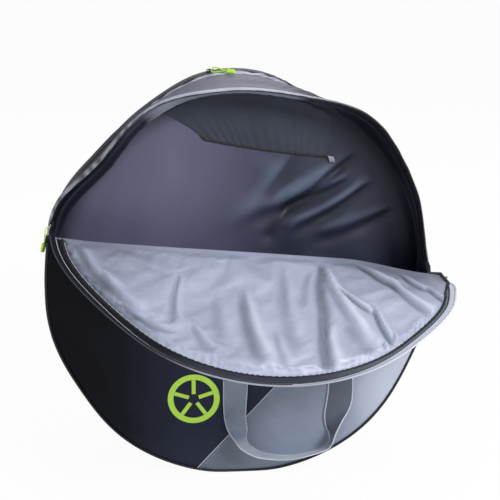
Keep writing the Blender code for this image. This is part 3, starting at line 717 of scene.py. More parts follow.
# Painted shade in the fold valleys and painted highlight on the ridges of the divider's right half, and a painted
# shadow of the wall round its rim.
divider_shade = np.clip(relief * 95, -0.8, 0.38) * smooth(-0.05, 0.06, flat_disc[..., 0])
divider_shade = divider_shade - 0.75 * smooth(0.86, 0.99, disc_fraction) * (divider_shade > -0.2)
divider = shell("divider_pad", divider_front, divider_back, [DIVIDER_TAFFETA], inner_finish=0, shade=divider_shade)
finish_piece(divider, "bag", "divider_cloth", "divider_foam", "divider_lining_front", "divider_lining_rear")

ring_angles = np.arange(0, 360, 2.0)
divider_ring = tube("divider_bound_edge", rim(ring_angles, 0.0, 0.0068), 0.0036, BLACK_TAPE, ring=True, sides=10)
finish_piece(divider_ring, "bag", "black_trim", "divider_binding")

# %% [markdown]
# A flat pocket hangs on the divider's front. It is one layer of blue-black nylon with a
# black hem, and gathers a little where its hem is stitched down.

# %% The divider's pocket
POCKET_LEFT, POCKET_RIGHT = (-0.072, 0.641), (0.177, 0.600)
across = np.linspace(0, 1, 71)[:, None]
upward = np.linspace(0, 1, 31)[None]
hem_x = POCKET_LEFT[0] + (POCKET_RIGHT[0] - POCKET_LEFT[0]) * across
hem_z = POCKET_LEFT[1] + (POCKET_RIGHT[1] - POCKET_LEFT[1]) * across - 0.004 * np.sin(pi * across)
hem_z = hem_z + 0.012 * (1 - smooth(0, 0.07, across)) ** 2
TOP_ANGLES = (114.0, 58.0)
top_edge = rim(TOP_ANGLES[0] + (TOP_ANGLES[1] - TOP_ANGLES[0]) * across, 0.0, 0.022)
pocket_x = hem_x + (top_edge[..., 0] - hem_x) * upward
pocket_z = hem_z + (top_edge[..., 2] - hem_z) * upward
gathers = 0.0009 * np.sin(hem_x * 2 * pi / 0.016 + 2 * np.sin(hem_x * 50)) * (1 - upward) ** 2
belly = 0.0035 * np.sin(pi * across) * np.sin(pi * np.clip(upward * 1.2, 0, 1))
pocket_y = -0.0046 - belly - gathers + 0 * pocket_x
pocket_front = join(pocket_x, pocket_y, pocket_z)
pocket_back = pocket_front + np.array((0.0, 0.0009, 0.0))
pocket = shell("divider_pocket_cloth", pocket_front, pocket_back, [POCKET_NYLON], inner_finish=0)
finish_piece(pocket, "bag", "black_cloth", "divider_pocket")

hem_path = pocket_front[:, 0] + np.array((0.0, -0.0006, 0.001))
pocket_hem = tube("divider_pocket_hem_band", hem_path, 0.0030, BLACK_TAPE, sides=8, flat=0.35)
finish_piece(pocket_hem, "bag", "black_trim", "divider_pocket_hem")


# %% [markdown]
# A plain tag sticks out of the hem's right end. A flat card could stand for it, but it is
# folded cloth, so its points arch a little.

# %% A small woven tag at the pocket's corner
tag_rows = np.linspace(0, 1, 7)[:, None]
tag_columns = np.linspace(0, 1, 5)[None]
TAG_CORNER, TAG_SIZE = (0.1775, 0.6030), (0.0110, 0.0125)
tag_x = TAG_CORNER[0] + TAG_SIZE[0] * tag_columns + 0.004 * tag_rows
tag_z = TAG_CORNER[1] - TAG_SIZE[1] * tag_rows - 0.002 * tag_columns
tag_y = -0.0085 - 0.0030 * np.sin(pi * tag_rows) * (0.4 + tag_columns)
tag_front = join(tag_x, tag_y, tag_z)
tag = shell("divider_pocket_tag", tag_front, tag_front + np.array((0, 0.0007, 0)), [EDGE_GREY], inner_finish=0)
finish_piece(tag, "bag", "grey_cloth")

# %% [markdown]
# ## The fixed lower front
# Below its fold the front is sewn all round: black on the left, blue-grey on the right, with
# a slanting seam between. Each half is drawn as lines that run from the rim up to the fold.

# %% The fold line of the front cover, and how the crest sags along it
HINGE = np.array((0.005853, -0.125, 0.444786))
HINGE_AXIS = np.array((-0.995396, 0.0, 0.095846))
REST_OPENING = 120.0             # degrees between the cover as shown and shut


def fold_height(x):
    return HINGE[2] - 0.096289 * (np.asarray(x, float) - HINGE[0])


def sag(points, strength=1.0):
    """Lowers cloth near the front fold, where the photograph shows the crest sagging."""
    x = points[..., 0]
    drop = 0.003 + 0.001 * hump(x, -0.17, 0.09) + 0.019 * smooth(0.19, 0.37, x)
    drop = drop * smooth(-0.36, -0.26, x)
    away = np.hypot(points[..., 1] - HINGE[1], points[..., 2] - fold_height(x))
    lowered = points.copy()
    lowered[..., 2] -= strength * drop * np.exp(-(away / 0.07) ** 2)
    return lowered


def lower_half(first, last, left, right, columns, rows, face, fold_z, relief, slack, gap=0.0):
    """A padded half of the lower front or of the rear: face is which way it looks along Y."""
    s = np.linspace(0, 1, columns)
    angle = first + (last - first) * s
    turn = np.radians(angle)
    around = wrap(angle)
    reach = RADIUS - 0.0056 + pressed(around) + slack(around)
    edge_x = reach * np.cos(turn)
    edge_z = soft_floor(centre_height(angle) + reach * np.sin(turn), 0.0004)
    fold_x = left + (right - left) * (edge_x - edge_x[0]) / (edge_x[-1] - edge_x[0])
    fold_x = np.clip(fold_x, min(left, right), max(left, right))
    up = np.linspace(0, 1, rows)[None]
    x = edge_x[:, None] + (fold_x - edge_x)[:, None] * up
    z = edge_z[:, None] + (fold_z(fold_x) - gap - edge_z)[:, None] * up
    depth = relief(x, z)
    soft = smooth(0, 0.03, up)
    outside = join(x, face * (HALF_DEPTH - (1 - soft) * 0.0022) - face * depth, z)
    inside = join(x, face * (HALF_DEPTH - WALL) - face * depth * 0.5, z)
    if face < 0:
        inside, outside = inside[:, ::-1], outside[:, ::-1]
    return outside, inside


def front_relief(x, z):
    """How far the lower front is pressed in: it bows a little, and never stands out under the handle."""
    bowl = 0.0012 + 0.0010 * swell(x, z, 0.22, 1.0)
    pulls = -fold_relief(x, z, ((-0.20, 0.12, -0.30, 0.30, 0.018, 0.0016, 0.001),
                                (0.06, 0.13, 0.16, 0.11, 0.012, 0.0012, 0.001),
                                (0.24, 0.15, 0.31, 0.27, 0.016, 0.0014, 0.001)))
    return np.clip(bowl + pulls, 0.0, 0.005)


# %% [markdown]
# Black and grey cloth meet at the slanting seam. One disc with two finishes would show
# steps along it, so each half is a piece of its own and both follow the same line.

# %% The two halves of the lower front
SEAM_FOOT = (-0.0875, 0.0)       # where the slanting seam meets the rim, and the fold
SEAM_HEAD_X = 0.286
seam_angle = 360 - 103.7
front_black = lower_half(FRONT_FOLD[0], seam_angle, -0.356, SEAM_HEAD_X, 170, 90, -1, fold_height, front_relief,
                         front_slack)
front_grey = lower_half(seam_angle, 360 + FRONT_FOLD[1], SEAM_HEAD_X, 0.3600, 120, 90, -1, fold_height,
                        front_relief, front_slack)
black_x, grey_x, grey_z = front_black[0][..., 0], front_grey[0][..., 0], front_grey[0][..., 2]
# Painted light and shade on the lower front: the black half is darker on the left and paler towards the middle,
# and the grey half is paler on the right and darker low on the left.
black_shade = 0.62 * smooth(-0.26, -0.10, black_x) - 0.7 * smooth(-0.20, -0.32, black_x)
grey_shade = 0.62 * smooth(0.17, 0.29, grey_x) - 0.5 * smooth(0.05, -0.05, grey_x - 0.3 * grey_z)
black_pad = shell("front_lower_pad_black", sag(front_black[0]), sag(front_black[1]), [BLACK_NYLON, LINING_TAFFETA],
                  shade=black_shade)
finish_piece(black_pad, "bag", "black_cloth", "front_panel_outer_black", "front_panel_foam", "front_panel_lining")
grey_pad = shell("front_lower_pad_grey", sag(front_grey[0]), sag(front_grey[1]), [GREY_NYLON, LINING_TAFFETA],
                 shade=grey_shade)
finish_piece(grey_pad, "bag", "grey_cloth", "front_panel_outer_grey")

# %% [markdown]
# A corded tape is sewn in where a disc meets the wall, and gives the bag its firm line. A
# bevelled curve could do it. This tube takes its points from the rim, so it keeps to every dip.

# %% Piping round the lower front, and round the rear disc
piping_radius = 0.0025
lower_arc = np.arange(FRONT_FOLD[0] + 1.0, 360 + FRONT_FOLD[1] - 1.4, 1.0)


def face_piping(name, angles, y, slack, finish):
    turn = wrap(angles)
    reach = RADIUS - piping_radius - 0.0003 + slack(turn) + pressed(turn)
    x = reach * cosd(turn)
    z = soft_floor(centre_height(turn) + reach * sind(turn), piping_radius)
    return tube(name, join(x, 0 * x + y, z), piping_radius, finish, sides=8)


front_piping = face_piping("front_lower_piping", lower_arc, -0.1225, front_slack, BLACK_TAPE)
finish_piece(front_piping, "bag", "black_trim", "front_panel_piping")
rear_low_arc = np.arange(REAR_FOLD[0], 360 + REAR_FOLD[1] + 0.5, 1.0)
rear_piping = face_piping("rear_lower_piping", rear_low_arc, 0.1225, no_slack, BLACK_TAPE)
finish_piece(rear_piping, "bag", "black_trim", "rear_panel_piping")
rear_high_arc = np.arange(REAR_FOLD[1] + 0.4, REAR_FOLD[0], 1.0)
rear_cover_piping = face_piping("rear_cover_piping_cord", rear_high_arc, 0.1225, rear_slack, BLACK_TAPE)
finish_piece(rear_cover_piping, "rear_cover", "black_trim", "rear_cover_piping")

# %% [markdown]
# ## The front cover
# The cover hangs open, lining up. It is written shut, as the disc it closes, and then
# turned about its fold, so that every piece of it also shuts. Its lining is the most
# looked-at cloth of the bag, so it gets the photograph's folds first, and then a cloth
# simulation lets it buckle between the seams.


# %% The cover's outline, shut, and the turn that opens it
def cover_reach(angle):
    """The open cover is pulled to the right, so its outline runs past the round there."""
    turn = np.radians(angle)
    reach = (RADIUS + 0.004 + 0.038 * np.cos(turn) + 0.032 * smooth(118, 163, angle)
             + 0.014 * smooth(38, 13, angle) + 0.010 * np.sin(turn) - 0.008 * hump(angle, 140, 13))
    widest = (0.4087 - 0.021 * hump(angle, FRONT_FOLD[1], 2.1)) / np.maximum(np.cos(turn), 0.2)
    blunt = 0.006        # the smaller of the two, with a rounded corner of about this size
    return -blunt * np.log(np.exp(-reach / blunt) + np.exp(-widest / blunt))


def opened(points):
    """Turns points of the shut cover about its fold to the resting pose."""
    turn = radians(-REST_OPENING)
    v = points - HINGE
    spun = (v * np.cos(turn) + np.cross(np.broadcast_to(HINGE_AXIS, v.shape), v) * np.sin(turn)
            + HINGE_AXIS * (v @ HINGE_AXIS)[..., None] * (1 - np.cos(turn)))
    return spun + HINGE


COVER_STEPS = 221
cover_angles = np.linspace(FRONT_FOLD[0], FRONT_FOLD[1], COVER_STEPS)
outline = join(cover_reach(cover_angles) * cosd(cover_angles),
               HIGH_CENTRE + cover_reach(cover_angles) * sind(cover_angles))
for k in (0, -1):
    outline[k, 1] = fold_height(outline[k, 0])
poles = join(0.55 * outline[:, 0], fold_height(0.55 * outline[:, 0]))
inward = poles - outline
inward /= np.linalg.norm(inward, axis=1, keepdims=True)

right_share = smooth(75, 35, cover_angles)       # 1 on the right, where the outer edge shows widest
left_share = smooth(105, 140, cover_angles)
# left_dark is how far the edge strips on the left take painted shade; it also thins the piping there.
left_dark = smooth(92, 112, cover_angles)
corner = hump(cover_angles, FRONT_FOLD[1], 2.4)
EDGE_WIDTH = 0.029 - 0.006 * right_share - 0.003 * left_share - 0.0105 * corner
PALE_WIDTH = 0.0022 + 0.0083 * right_share + 0.0060 * left_share - 0.0080 * corner
BOUND_WIDTH = 0.0026 + 0.0026 * right_share + 0.0034 * left_share + 0.0012 * corner


def cover_points(inset, height):
    """Points of the shut cover this far in from its outline, and this far inside its outer face."""
    inset, height = np.broadcast_arrays(inset, height)
    flat = outline[:, None] + inward[:, None] * inset[..., None]
    return join(flat[..., 0], -HALF_DEPTH + height, flat[..., 1])


def edge_height(inset):
    """The edge curls towards the lining, so that it reaches for the zip when shut."""
    curl = 0.0105 * (1 - 0.85 * corner[:, None])
    return 0.0045 + curl * (1 - np.clip(inset / EDGE_WIDTH[:, None], 0, 1)) ** 1.6


# %% [markdown]
# Long folds fan out from the crest, and short puckers pull at the seam. They could be
# sculpted by hand, but as lines in a table each can be moved on its own against the
# photograph. They fade out where the cloth is held.

# %% The cover's padded middle
LINING_FOLDS = (
    (0.008, 0.565, 0.047, 0.701, 0.0086, 0.0060, 0.0040),
    (0.077, 0.497, 0.108, 0.660, 0.0086, 0.0028, 0.0015),
    (0.153, 0.460, 0.164, 0.600, 0.0072, 0.0075, 0.0010),
    (0.158, 0.472, 0.222, 0.605, 0.0065, 0.0045, 0.0060),
    (0.160, 0.600, 0.178, 0.712, 0.0086, 0.0085, 0.0050),
    (0.186, 0.510, 0.242, 0.556, 0.0032, 0.0060, 0.0040),
    (0.252, 0.552, 0.286, 0.628, 0.0040, 0.0075, 0.0040),
    (0.205, 0.425, 0.285, 0.478, 0.0058, 0.0060, 0.0050),
    (0.282, 0.474, 0.351, 0.538, 0.0058, 0.0050, 0.0040),
    (0.299, 0.432, 0.345, 0.470, 0.0043, 0.0050, 0.0040),
    (0.351, 0.464, 0.385, 0.500, 0.0036, 0.0045, 0.0040),
    (0.202, 0.599, 0.249, 0.651, 0.0101, 0.0035, 0.0020),
    (0.287, 0.605, 0.302, 0.642, 0.0032, 0.0050, 0.0030),
    (0.269, 0.630, 0.288, 0.658, 0.0032, 0.0045, 0.0030),
    (-0.112, 0.540, -0.113, 0.635, 0.0050, 0.0035, 0.0020),
    (-0.039, 0.571, -0.024, 0.666, 0.0086, 0.0025, 0.0010),
    (-0.226, 0.479, -0.140, 0.494, 0.0086, 0.0025, 0.0020),
    (-0.300, 0.500, -0.235, 0.585, 0.0072, 0.0040, 0.0030),
    (0.128, 0.480, 0.120, 0.560, 0.0050, 0.0020, 0.0010),
    (-0.180, 0.640, -0.120, 0.668, 0.0050, 0.0030, 0.0020),
    (-0.265, 0.585, -0.225, 0.625, 0.0045, 0.0035, 0.0020),
    (-0.205, 0.620, -0.168, 0.645, 0.0040, 0.0030, 0.0020),
    (-0.075, 0.655, -0.040, 0.700, 0.0060, 0.0030, 0.0015),
    (0.075, 0.640, 0.092, 0.705, 0.0050, 0.0025, 0.0015),
    (-0.250, 0.560, -0.150, 0.655, 0.0072, 0.0030, 0.0020),
)
COVER_ROWS = 92
LEAST_HEIGHT, HEIGHT_SOFTNESS = 0.0042, 0.0011      # the lining never goes through the outer cloth
root_x = outline[0, 0] + EDGE_WIDTH[0] + (outline[-1, 0] - EDGE_WIDTH[-1] - outline[0, 0] - EDGE_WIDTH[0]) * (
    outline[:, 0] - outline[0, 0]) / (outline[-1, 0] - outline[0, 0])
seam_line = outline + inward * (EDGE_WIDTH - 0.001)[:, None]
root_line = join(root_x, fold_height(root_x) + 0.0008)
out_share = np.linspace(0, 1, COVER_ROWS)[None, :, None]
middle = root_line[:, None] + (seam_line - root_line)[:, None] * out_share
mx, mz = middle[..., 0], middle[..., 1]
from_seam = np.linalg.norm(middle - seam_line[:, None], axis=-1)
held = smooth(0.0, 0.022, from_seam) * smooth(0.0, 0.03, mz - fold_height(mx))
arc_run = path_run(seam_line)[:, None]
puckers = (0.0013 - 0.0008 * left_share[:, None]) * np.sin(arc_run * 2 * pi / 0.0135 + 3.4 * np.sin(arc_run * 29)
                                                            + 2.1 * np.sin(arc_run * 71))
puckers = puckers * (0.55 + 0.45 * np.sin(arc_run * 47 + 2 * np.sin(arc_run * 19)))
puckers = puckers * np.exp(-from_seam / 0.0085) * smooth(0.0, 0.003, from_seam)
border = smooth(0.034, 0.004, from_seam) * smooth(0.004, 0.010, from_seam)
crumples = 0.0016 * swell(mx, mz, 0.021, 2.7) * border * (0.35 + 0.65 * left_share[:, None])
folds = fold_relief(mx, mz, LINING_FOLDS) * held
relief = folds * 1.15 + puckers + crumples
relief = relief + held * (0.0022 * swell(mx, mz, 0.19, 0.6) + 0.0010 * swell(mx, mz, 0.07, 4.1) + 0.0045)
lining_height = WALL + relief - 0.0012 * smooth(0.012, 0.0, from_seam)
lining_height = LEAST_HEIGHT + HEIGHT_SOFTNESS * np.logaddexp(0, (lining_height - LEAST_HEIGHT) / HEIGHT_SOFTNESS)
lining_flat = join(mx, -HALF_DEPTH + lining_height, mz)


def buckle(points, pinned, frames, growth):
    """Runs a cloth simulation on a sheet that is too big for its seams, and returns where it settles."""
    count_rows, count_columns = points.shape[:2]
    number = np.arange(count_rows * count_columns).reshape(count_rows, count_columns)
    quads = join(number[:-1, :-1], number[1:, :-1], number[1:, 1:], number[:-1, 1:]).reshape(-1, 4)
    mesh = bpy.data.meshes.new("settling_cloth")
    mesh.from_pydata(points.reshape(-1, 3).tolist(), [], quads.tolist())
    sheet = bpy.data.objects.new("settling_cloth", mesh)
    bpy.context.scene.collection.objects.link(sheet)
    group = sheet.vertex_groups.new(name="seams")
    for index, weight in enumerate(pinned.ravel()):
        if weight > 0:
            group.add([index], float(weight), "REPLACE")
    cloth = sheet.modifiers.new("cloth", "CLOTH")
    settings = cloth.settings
    settings.quality = 6
    settings.mass = 0.15
    settings.vertex_group_mass = "seams"
    settings.tension_stiffness = settings.compression_stiffness = 14
    settings.shear_stiffness = 6
    settings.bending_stiffness = 0.25
    settings.air_damping = 4
    settings.shrink_min = -growth
    settings.effector_weights.gravity = 0
    cloth.collision_settings.use_self_collision = False
    cloth.collision_settings.use_collision = False
    scene = bpy.context.scene
    for number_of_frame in range(1, frames + 1):
        scene.frame_set(number_of_frame)
    settled = sheet.evaluated_get(bpy.context.evaluated_depsgraph_get())
    places = np.array([v.co for v in settled.data.vertices]).reshape(points.shape)
    bpy.data.objects.remove(sheet)
    scene.frame_set(1)
    return places


SIMULATED_FRAMES = 14
LINING_GROWTH = 0.02     # the lining is cut this share too big for its seams
MOST_BUCKLE = 0.006
pins = np.zeros(lining_flat.shape[:2])
pins[:4], pins[-4:], pins[:, :2], pins[:, -2:] = 1, 1, 1, 1
lining_places = buckle(lining_flat, pins, SIMULATED_FRAMES, LINING_GROWTH)
moved = np.clip(lining_places - lining_flat, -MOST_BUCKLE, MOST_BUCKLE)
print("the lining moved at most", round(float(np.abs(moved).max()) * 1000, 1), "mm")
lining_places = lining_flat + moved * np.clip(held, 0, 1)[..., None]
lining_places[..., 1] = np.maximum(lining_places[..., 1], -HALF_DEPTH + LEAST_HEIGHT)

outer_face = join(mx, -HALF_DEPTH + 0.0004 + 0.0025 * smooth(0.03, 0.0, from_seam)
                  + 0.0008 * swell(mx, mz, 0.2, 3.0) * held, mz)
SEAM_SLOPE = 1.09
grey_faces = (mz - 0.105) < (mx * SEAM_SLOPE)
grey_part = grey_faces[1:, 1:].astype(int) * 2
from_fold = mz - fold_height(mx)
# Painted shade in the lining's fold valleys and puckers, painted highlight on their ridges, and painted shade
# along the fold, towards the crest's right end, on the left and along the left seam.
crease_shade = np.clip(folds * 90, -0.5, 0.4) + np.clip((puckers + crumples) * 330, -0.42, 0.08)
cover_shade = crease_shade + (-0.14 * smooth(0.050, 0.0, from_fold)
                              - 0.50 * smooth(0.06, 0.30, mx) * smooth(0.13, 0.0, from_fold)
                              - 0.34 * smooth(-0.08, -0.30, mx)
                              - 0.50 * smooth(0.030, 0.0, from_seam) * smooth(-0.08, -0.22, mx))
cover_pad = shell("front_cover_pad", sag(opened(outer_face))[:, ::-1], sag(opened(lining_places))[:, ::-1],
                  [BLACK_NYLON, LINING_TAFFETA, GREY_NYLON], outer_finish=grey_part[:, ::-1], edge_finish=1,
                  shade=np.clip(cover_shade, -0.88, 0.5)[:, ::-1])

# %% [markdown]
# Outside the lining come a black binding, the zip's tape with its coil, and a pale rim. Each
# is a strip between two distances from the same outline, so no gap can open between them.
# On the right they show wide, and on the left they turn away and show narrow. They are painted
# pale on the right with painted light, and dark on the left with painted shade.


def cover_strip(name, start, stop, columns, thickness, finish, shade, lift=0.0):
    """A strip of the cover's edge between two distances in from its outline."""
    inset = start + (stop - start) * np.linspace(0, 1, columns)[None]
    height = edge_height(inset) + lift
    upper = sag(opened(cover_points(inset, height)))
    under = sag(opened(cover_points(inset, height - thickness)))
    return shell(name, upper, under, [finish], inner_finish=0, shade=shade[:, None])


def cover_done(piece, slot, *nodes):
    finish_piece(piece, "front_cover", slot, *nodes)
    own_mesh(piece)


cover_done(cover_pad, "grey_lining", "front_cover_outer_black", "front_cover_outer_grey", "front_cover_foam",
           "front_cover_lining")
coil_start = PALE_WIDTH[:, None]
tape_start = coil_start + 0.0030
# Painted light on the right and painted shade on the left of the pale rim.
wall_strip = cover_strip("front_cover_outer_edge", 0 * coil_start, coil_start + 0.002, 6, 0.0022, PALE_EDGE,
                         0.95 * right_share - left_dark)
cover_done(wall_strip, "grey_cloth", "front_cover_wall")
# Painted light on the right and painted shade on the left of the tape.
tape_strip = cover_strip("front_zip_cover_tape_cloth", tape_start - 0.0025, EDGE_WIDTH[:, None] - 0.0008, 8,
                         0.0016, COVER_TAPE, 0.7 * right_share - 0.85 * left_dark, lift=0.0003)
cover_done(tape_strip, "zip_tape", "front_zip_cover_tape")


def along_cover(inset, height):
    """A line that runs round the open cover, this far in from its outline and this far above its edge."""
    return sag(opened(cover_points(inset[:, None], edge_height(inset[:, None]) + height)))[:, 0]


TO_VIEWER = (0, -0.5, 0.87)          # roughly square to the open cover
coil_line = along_cover(PALE_WIDTH + 0.0022, 0.0008)
cut, radii = ribbed(coil_line[2:-5], COIL_PITCH, 0.0017, 0.0024)
thinner = np.interp(np.linspace(0, 1, len(cut)), np.linspace(0, 1, COVER_STEPS), right_share + left_share)
cover_done(tube("front_zip_cover_coil_row", cut, radii * (1 - 0.5 * thinner), COIL_NYLON, sides=6, up=TO_VIEWER,
                flat=0.7), "zip_coil", "front_zip_cover_coil")
bound_line = along_cover(EDGE_WIDTH - BOUND_WIDTH / 2, 0.0012)
bound_line = bound_line + 0.0006 * np.sin(arc_run * 2 * pi / 0.011 + 2 * np.sin(arc_run * 40))
dots = 1 + 0.22 * right_share * np.sin(arc_run[:, 0] * 2 * pi / 0.0120)
cover_done(tube("front_cover_bound_seam", bound_line[:-11], (BOUND_WIDTH / 2 * dots)[:-11], BLACK_TAPE,
                sides=10, flat=0.6, up=TO_VIEWER), "black_trim", "front_cover_binding")
edge_line = along_cover(0 * PALE_WIDTH + 0.0005, -0.0008)
# Painted light on the right and painted shade on the left of the piping.
cover_done(tube("front_cover_edge_piping", edge_line, 0.0017 - 0.0006 * left_dark, PALE_EDGE, sides=8,
                up=TO_VIEWER, shade=0.95 * right_share - 0.8 * left_dark), "black_trim", "front_cover_piping")
for line_name, line_inset, first, last in (
    ("front_cover_left_selvedge", PALE_WIDTH + 0.0034, 84, COVER_STEPS - 1),
    ("front_cover_right_selvedge", PALE_WIDTH + 0.0002, 6, 95),
    ("front_cover_left_topstitch", EDGE_WIDTH + 0.0010, 118, COVER_STEPS - 3),
):
    first, last = COVER_STEPS - 1 - last, COVER_STEPS - 1 - first
    line = along_cover(line_inset, 0.0016)[first:last]
    cover_done(tube(line_name, line, 0.0007, SELVEDGE, sides=6, up=TO_VIEWER), "zip_tape")

# %% [markdown]
# ## The crest of the fold
# Where the cover turns over, the same padding runs on as a rounded crest, between the bag
# and the cover.

# %% The crest
crest_x = np.linspace(-0.350, 0.3800, 90)[:, None]
crest_turn = np.radians(np.linspace(-14, REST_OPENING + 8, 15))[None]
crest_radius = WALL + 0.0006
crest_top = join(crest_x, -HALF_DEPTH + crest_radius * np.cos(crest_turn),
                 fold_height(crest_x) + crest_radius * np.sin(crest_turn))
crest_under = join(crest_x, -HALF_DEPTH + 0.0002 + 0 * crest_turn,
                   fold_height(crest_x) + 0 * crest_turn)
crest_under = crest_under + (crest_top - crest_under) * 0.15
# Painted shade along the crest, deeper on the right and on the left.
crest_shade = -0.14 - 0.50 * smooth(0.06, 0.30, crest_x) - 0.34 * smooth(-0.08, -0.30, crest_x)
crest = shell("front_fold_crest", sag(crest_top)[::-1], sag(crest_under)[::-1], [LINING_TAFFETA], inner_finish=0,
              shade=crest_shade[::-1])
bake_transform(crest)

# %% [markdown]
# A black binding covers the raw end of the crest. One stiff piece would stand out when the
# cover shuts, so it is two: one lies on the crest, and the next one rides on the cover.

# %% Binding over the crest's right end
def on_crest(x, turn, lift=0.0010):
    turn = radians(turn)
    return sag(np.array((x, -HALF_DEPTH + (crest_radius + lift) * np.cos(turn),
                         fold_height(x) + (crest_radius + lift) * np.sin(turn))))


tip = along_cover(0 * PALE_WIDTH + 0.0020, 0.0008)
crest_end = [on_crest(0.3560, 62), on_crest(0.3650, 72), on_crest(0.3742, 84), on_crest(0.3825, 98, 0.0016)]
crest_binding = tube("front_crest_end_binding", resample(crest_end, 30), np.linspace(0.0022, 0.0036, 30),
                     BLACK_TAPE, sides=10)
corner_end = [on_crest(0.3808, 96, 0.0012), tip[-2], tip[-5] * 0.6 + bound_line[-5] * 0.4, bound_line[-10],
              bound_line[-16]]
cover_done(tube("front_cover_corner_binding", resample(corner_end, 50), 0.0035, BLACK_TAPE, sides=10),
           "black_trim")
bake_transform(crest_binding)

# %% [markdown]
# ## The rear disc and its cover
# The back is one black disc in two parts: sewn below the fold, zipped above it. It is shut
# here, so its pads lie in one plane, with a soft strip between them.

# %% Rear pads
REAR_HINGE_Z = 0.435494


def rear_bow(x, z):
    """The rear disc stands out a few millimetres in its middle."""
    away = np.hypot(x, z - DISC_MIDDLE) / RADIUS
    bow = 0.007 * np.clip(1 - away ** 2, 0, 1) + 0.0012 * swell(x, z, 0.2, 5.0) * smooth(1, 0.85, away)
    return -bow * smooth(0.0, 0.07, np.abs(z - REAR_HINGE_Z))      # flat by the fold, where the pads turn


rear_fold_left = (RADIUS - 0.004) * cosd(REAR_FOLD[0])
STRIP_HALF = 0.011
rear_low = lower_half(REAR_FOLD[0], 360 + REAR_FOLD[1], rear_fold_left, -rear_fold_left, 200, 90, 1,
                      lambda x: REAR_HINGE_Z + 0 * x, rear_bow, no_slack, gap=STRIP_HALF)
rear_pad = shell("rear_lower_pad", rear_low[0], rear_low[1], [BLACK_NYLON, LINING_TAFFETA])
finish_piece(rear_pad, "bag", "black_cloth", "rear_panel_outer", "rear_panel_foam", "rear_panel_lining")

s = np.linspace(0, 1, 200)
rear_turn = REAR_FOLD[0] + (REAR_FOLD[1] - REAR_FOLD[0]) * s
rear_reach = RADIUS - 0.0056 + rear_slack(rear_turn)
rear_edge_x = rear_reach * cosd(rear_turn)
rear_edge_z = HIGH_CENTRE + rear_reach * sind(rear_turn)
up = np.linspace(1, 0, 90)[None]
rx = rear_edge_x[:, None] * np.ones_like(up)
rz = REAR_HINGE_Z + STRIP_HALF + (np.maximum(rear_edge_z, REAR_HINGE_Z + STRIP_HALF + 0.001)
                                  - REAR_HINGE_Z - STRIP_HALF)[:, None] * up
rear_depth = rear_bow(rx, rz)
rear_soft = smooth(0, 0.03, 1 - up)
rear_out = join(rx, HALF_DEPTH - (1 - rear_soft) * 0.0022 - rear_depth, rz)
rear_in = join(rx, HALF_DEPTH - WALL - rear_depth * 0.5, rz)
rear_cover_pad = shell("rear_cover_pad", rear_out[::-1], rear_in[::-1], [BLACK_NYLON, LINING_TAFFETA])
finish_piece(rear_cover_pad, "rear_cover", "black_cloth", "rear_cover_outer", "rear_cover_foam",
             "rear_cover_lining")

strip_x = np.linspace(rear_fold_left, -rear_fold_left, 120)[:, None]
strip_z = REAR_HINGE_Z + np.linspace(-STRIP_HALF - 0.0005, STRIP_HALF + 0.0005, 13)[None]
sx, sz = np.broadcast_arrays(strip_x, strip_z)
groove = 0.0012 * hump(sz, REAR_HINGE_Z, 0.002)
strip_out = join(sx, HALF_DEPTH - rear_bow(sx, sz) - groove, sz)
strip_in = join(sx, HALF_DEPTH - WALL - rear_bow(sx, sz) * 0.5, sz)
rear_strip = shell("rear_fold_strip", strip_out[::-1], strip_in[::-1], [BLACK_NYLON, LINING_TAFFETA])
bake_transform(rear_strip)

# %% [markdown]
# A narrow wall joins the rear disc to its zip. It is cut from the same rim as the padded
# wall, so that the two meet all round when the cover is shut.

# %% The rear cover's own wall, between its zip and its piping
rear_wall_angles = np.arange(8.4, 171.7, 1.0)[:, None]
rear_wall_y = np.linspace(0.0949, 0.1205, 9)[None]
rear_wall = shell("rear_cover_side_wall", rim(rear_wall_angles, rear_wall_y, 0.0003),
                  rim(rear_wall_angles, rear_wall_y, WALL * 0.7), [CHARCOAL_NYLON, BLACK_SATIN])
finish_piece(rear_wall, "rear_cover", "black_cloth", "rear_cover_wall")
rear_bound = tube("rear_cover_bound_seam", rim(np.arange(8.8, 171.4, 1.0), 0.1175, 0.0056), 0.0018, BLACK_TAPE)
finish_piece(rear_bound, "rear_cover", "black_trim", "rear_cover_binding")

# %% [markdown]
# ## The carry handle
# The handle is one length of 40 mm webbing. Its two straps lie flat on the front, and at the
# bottom the webbing turns on edge and runs across like a shelf, twisting at both corners.

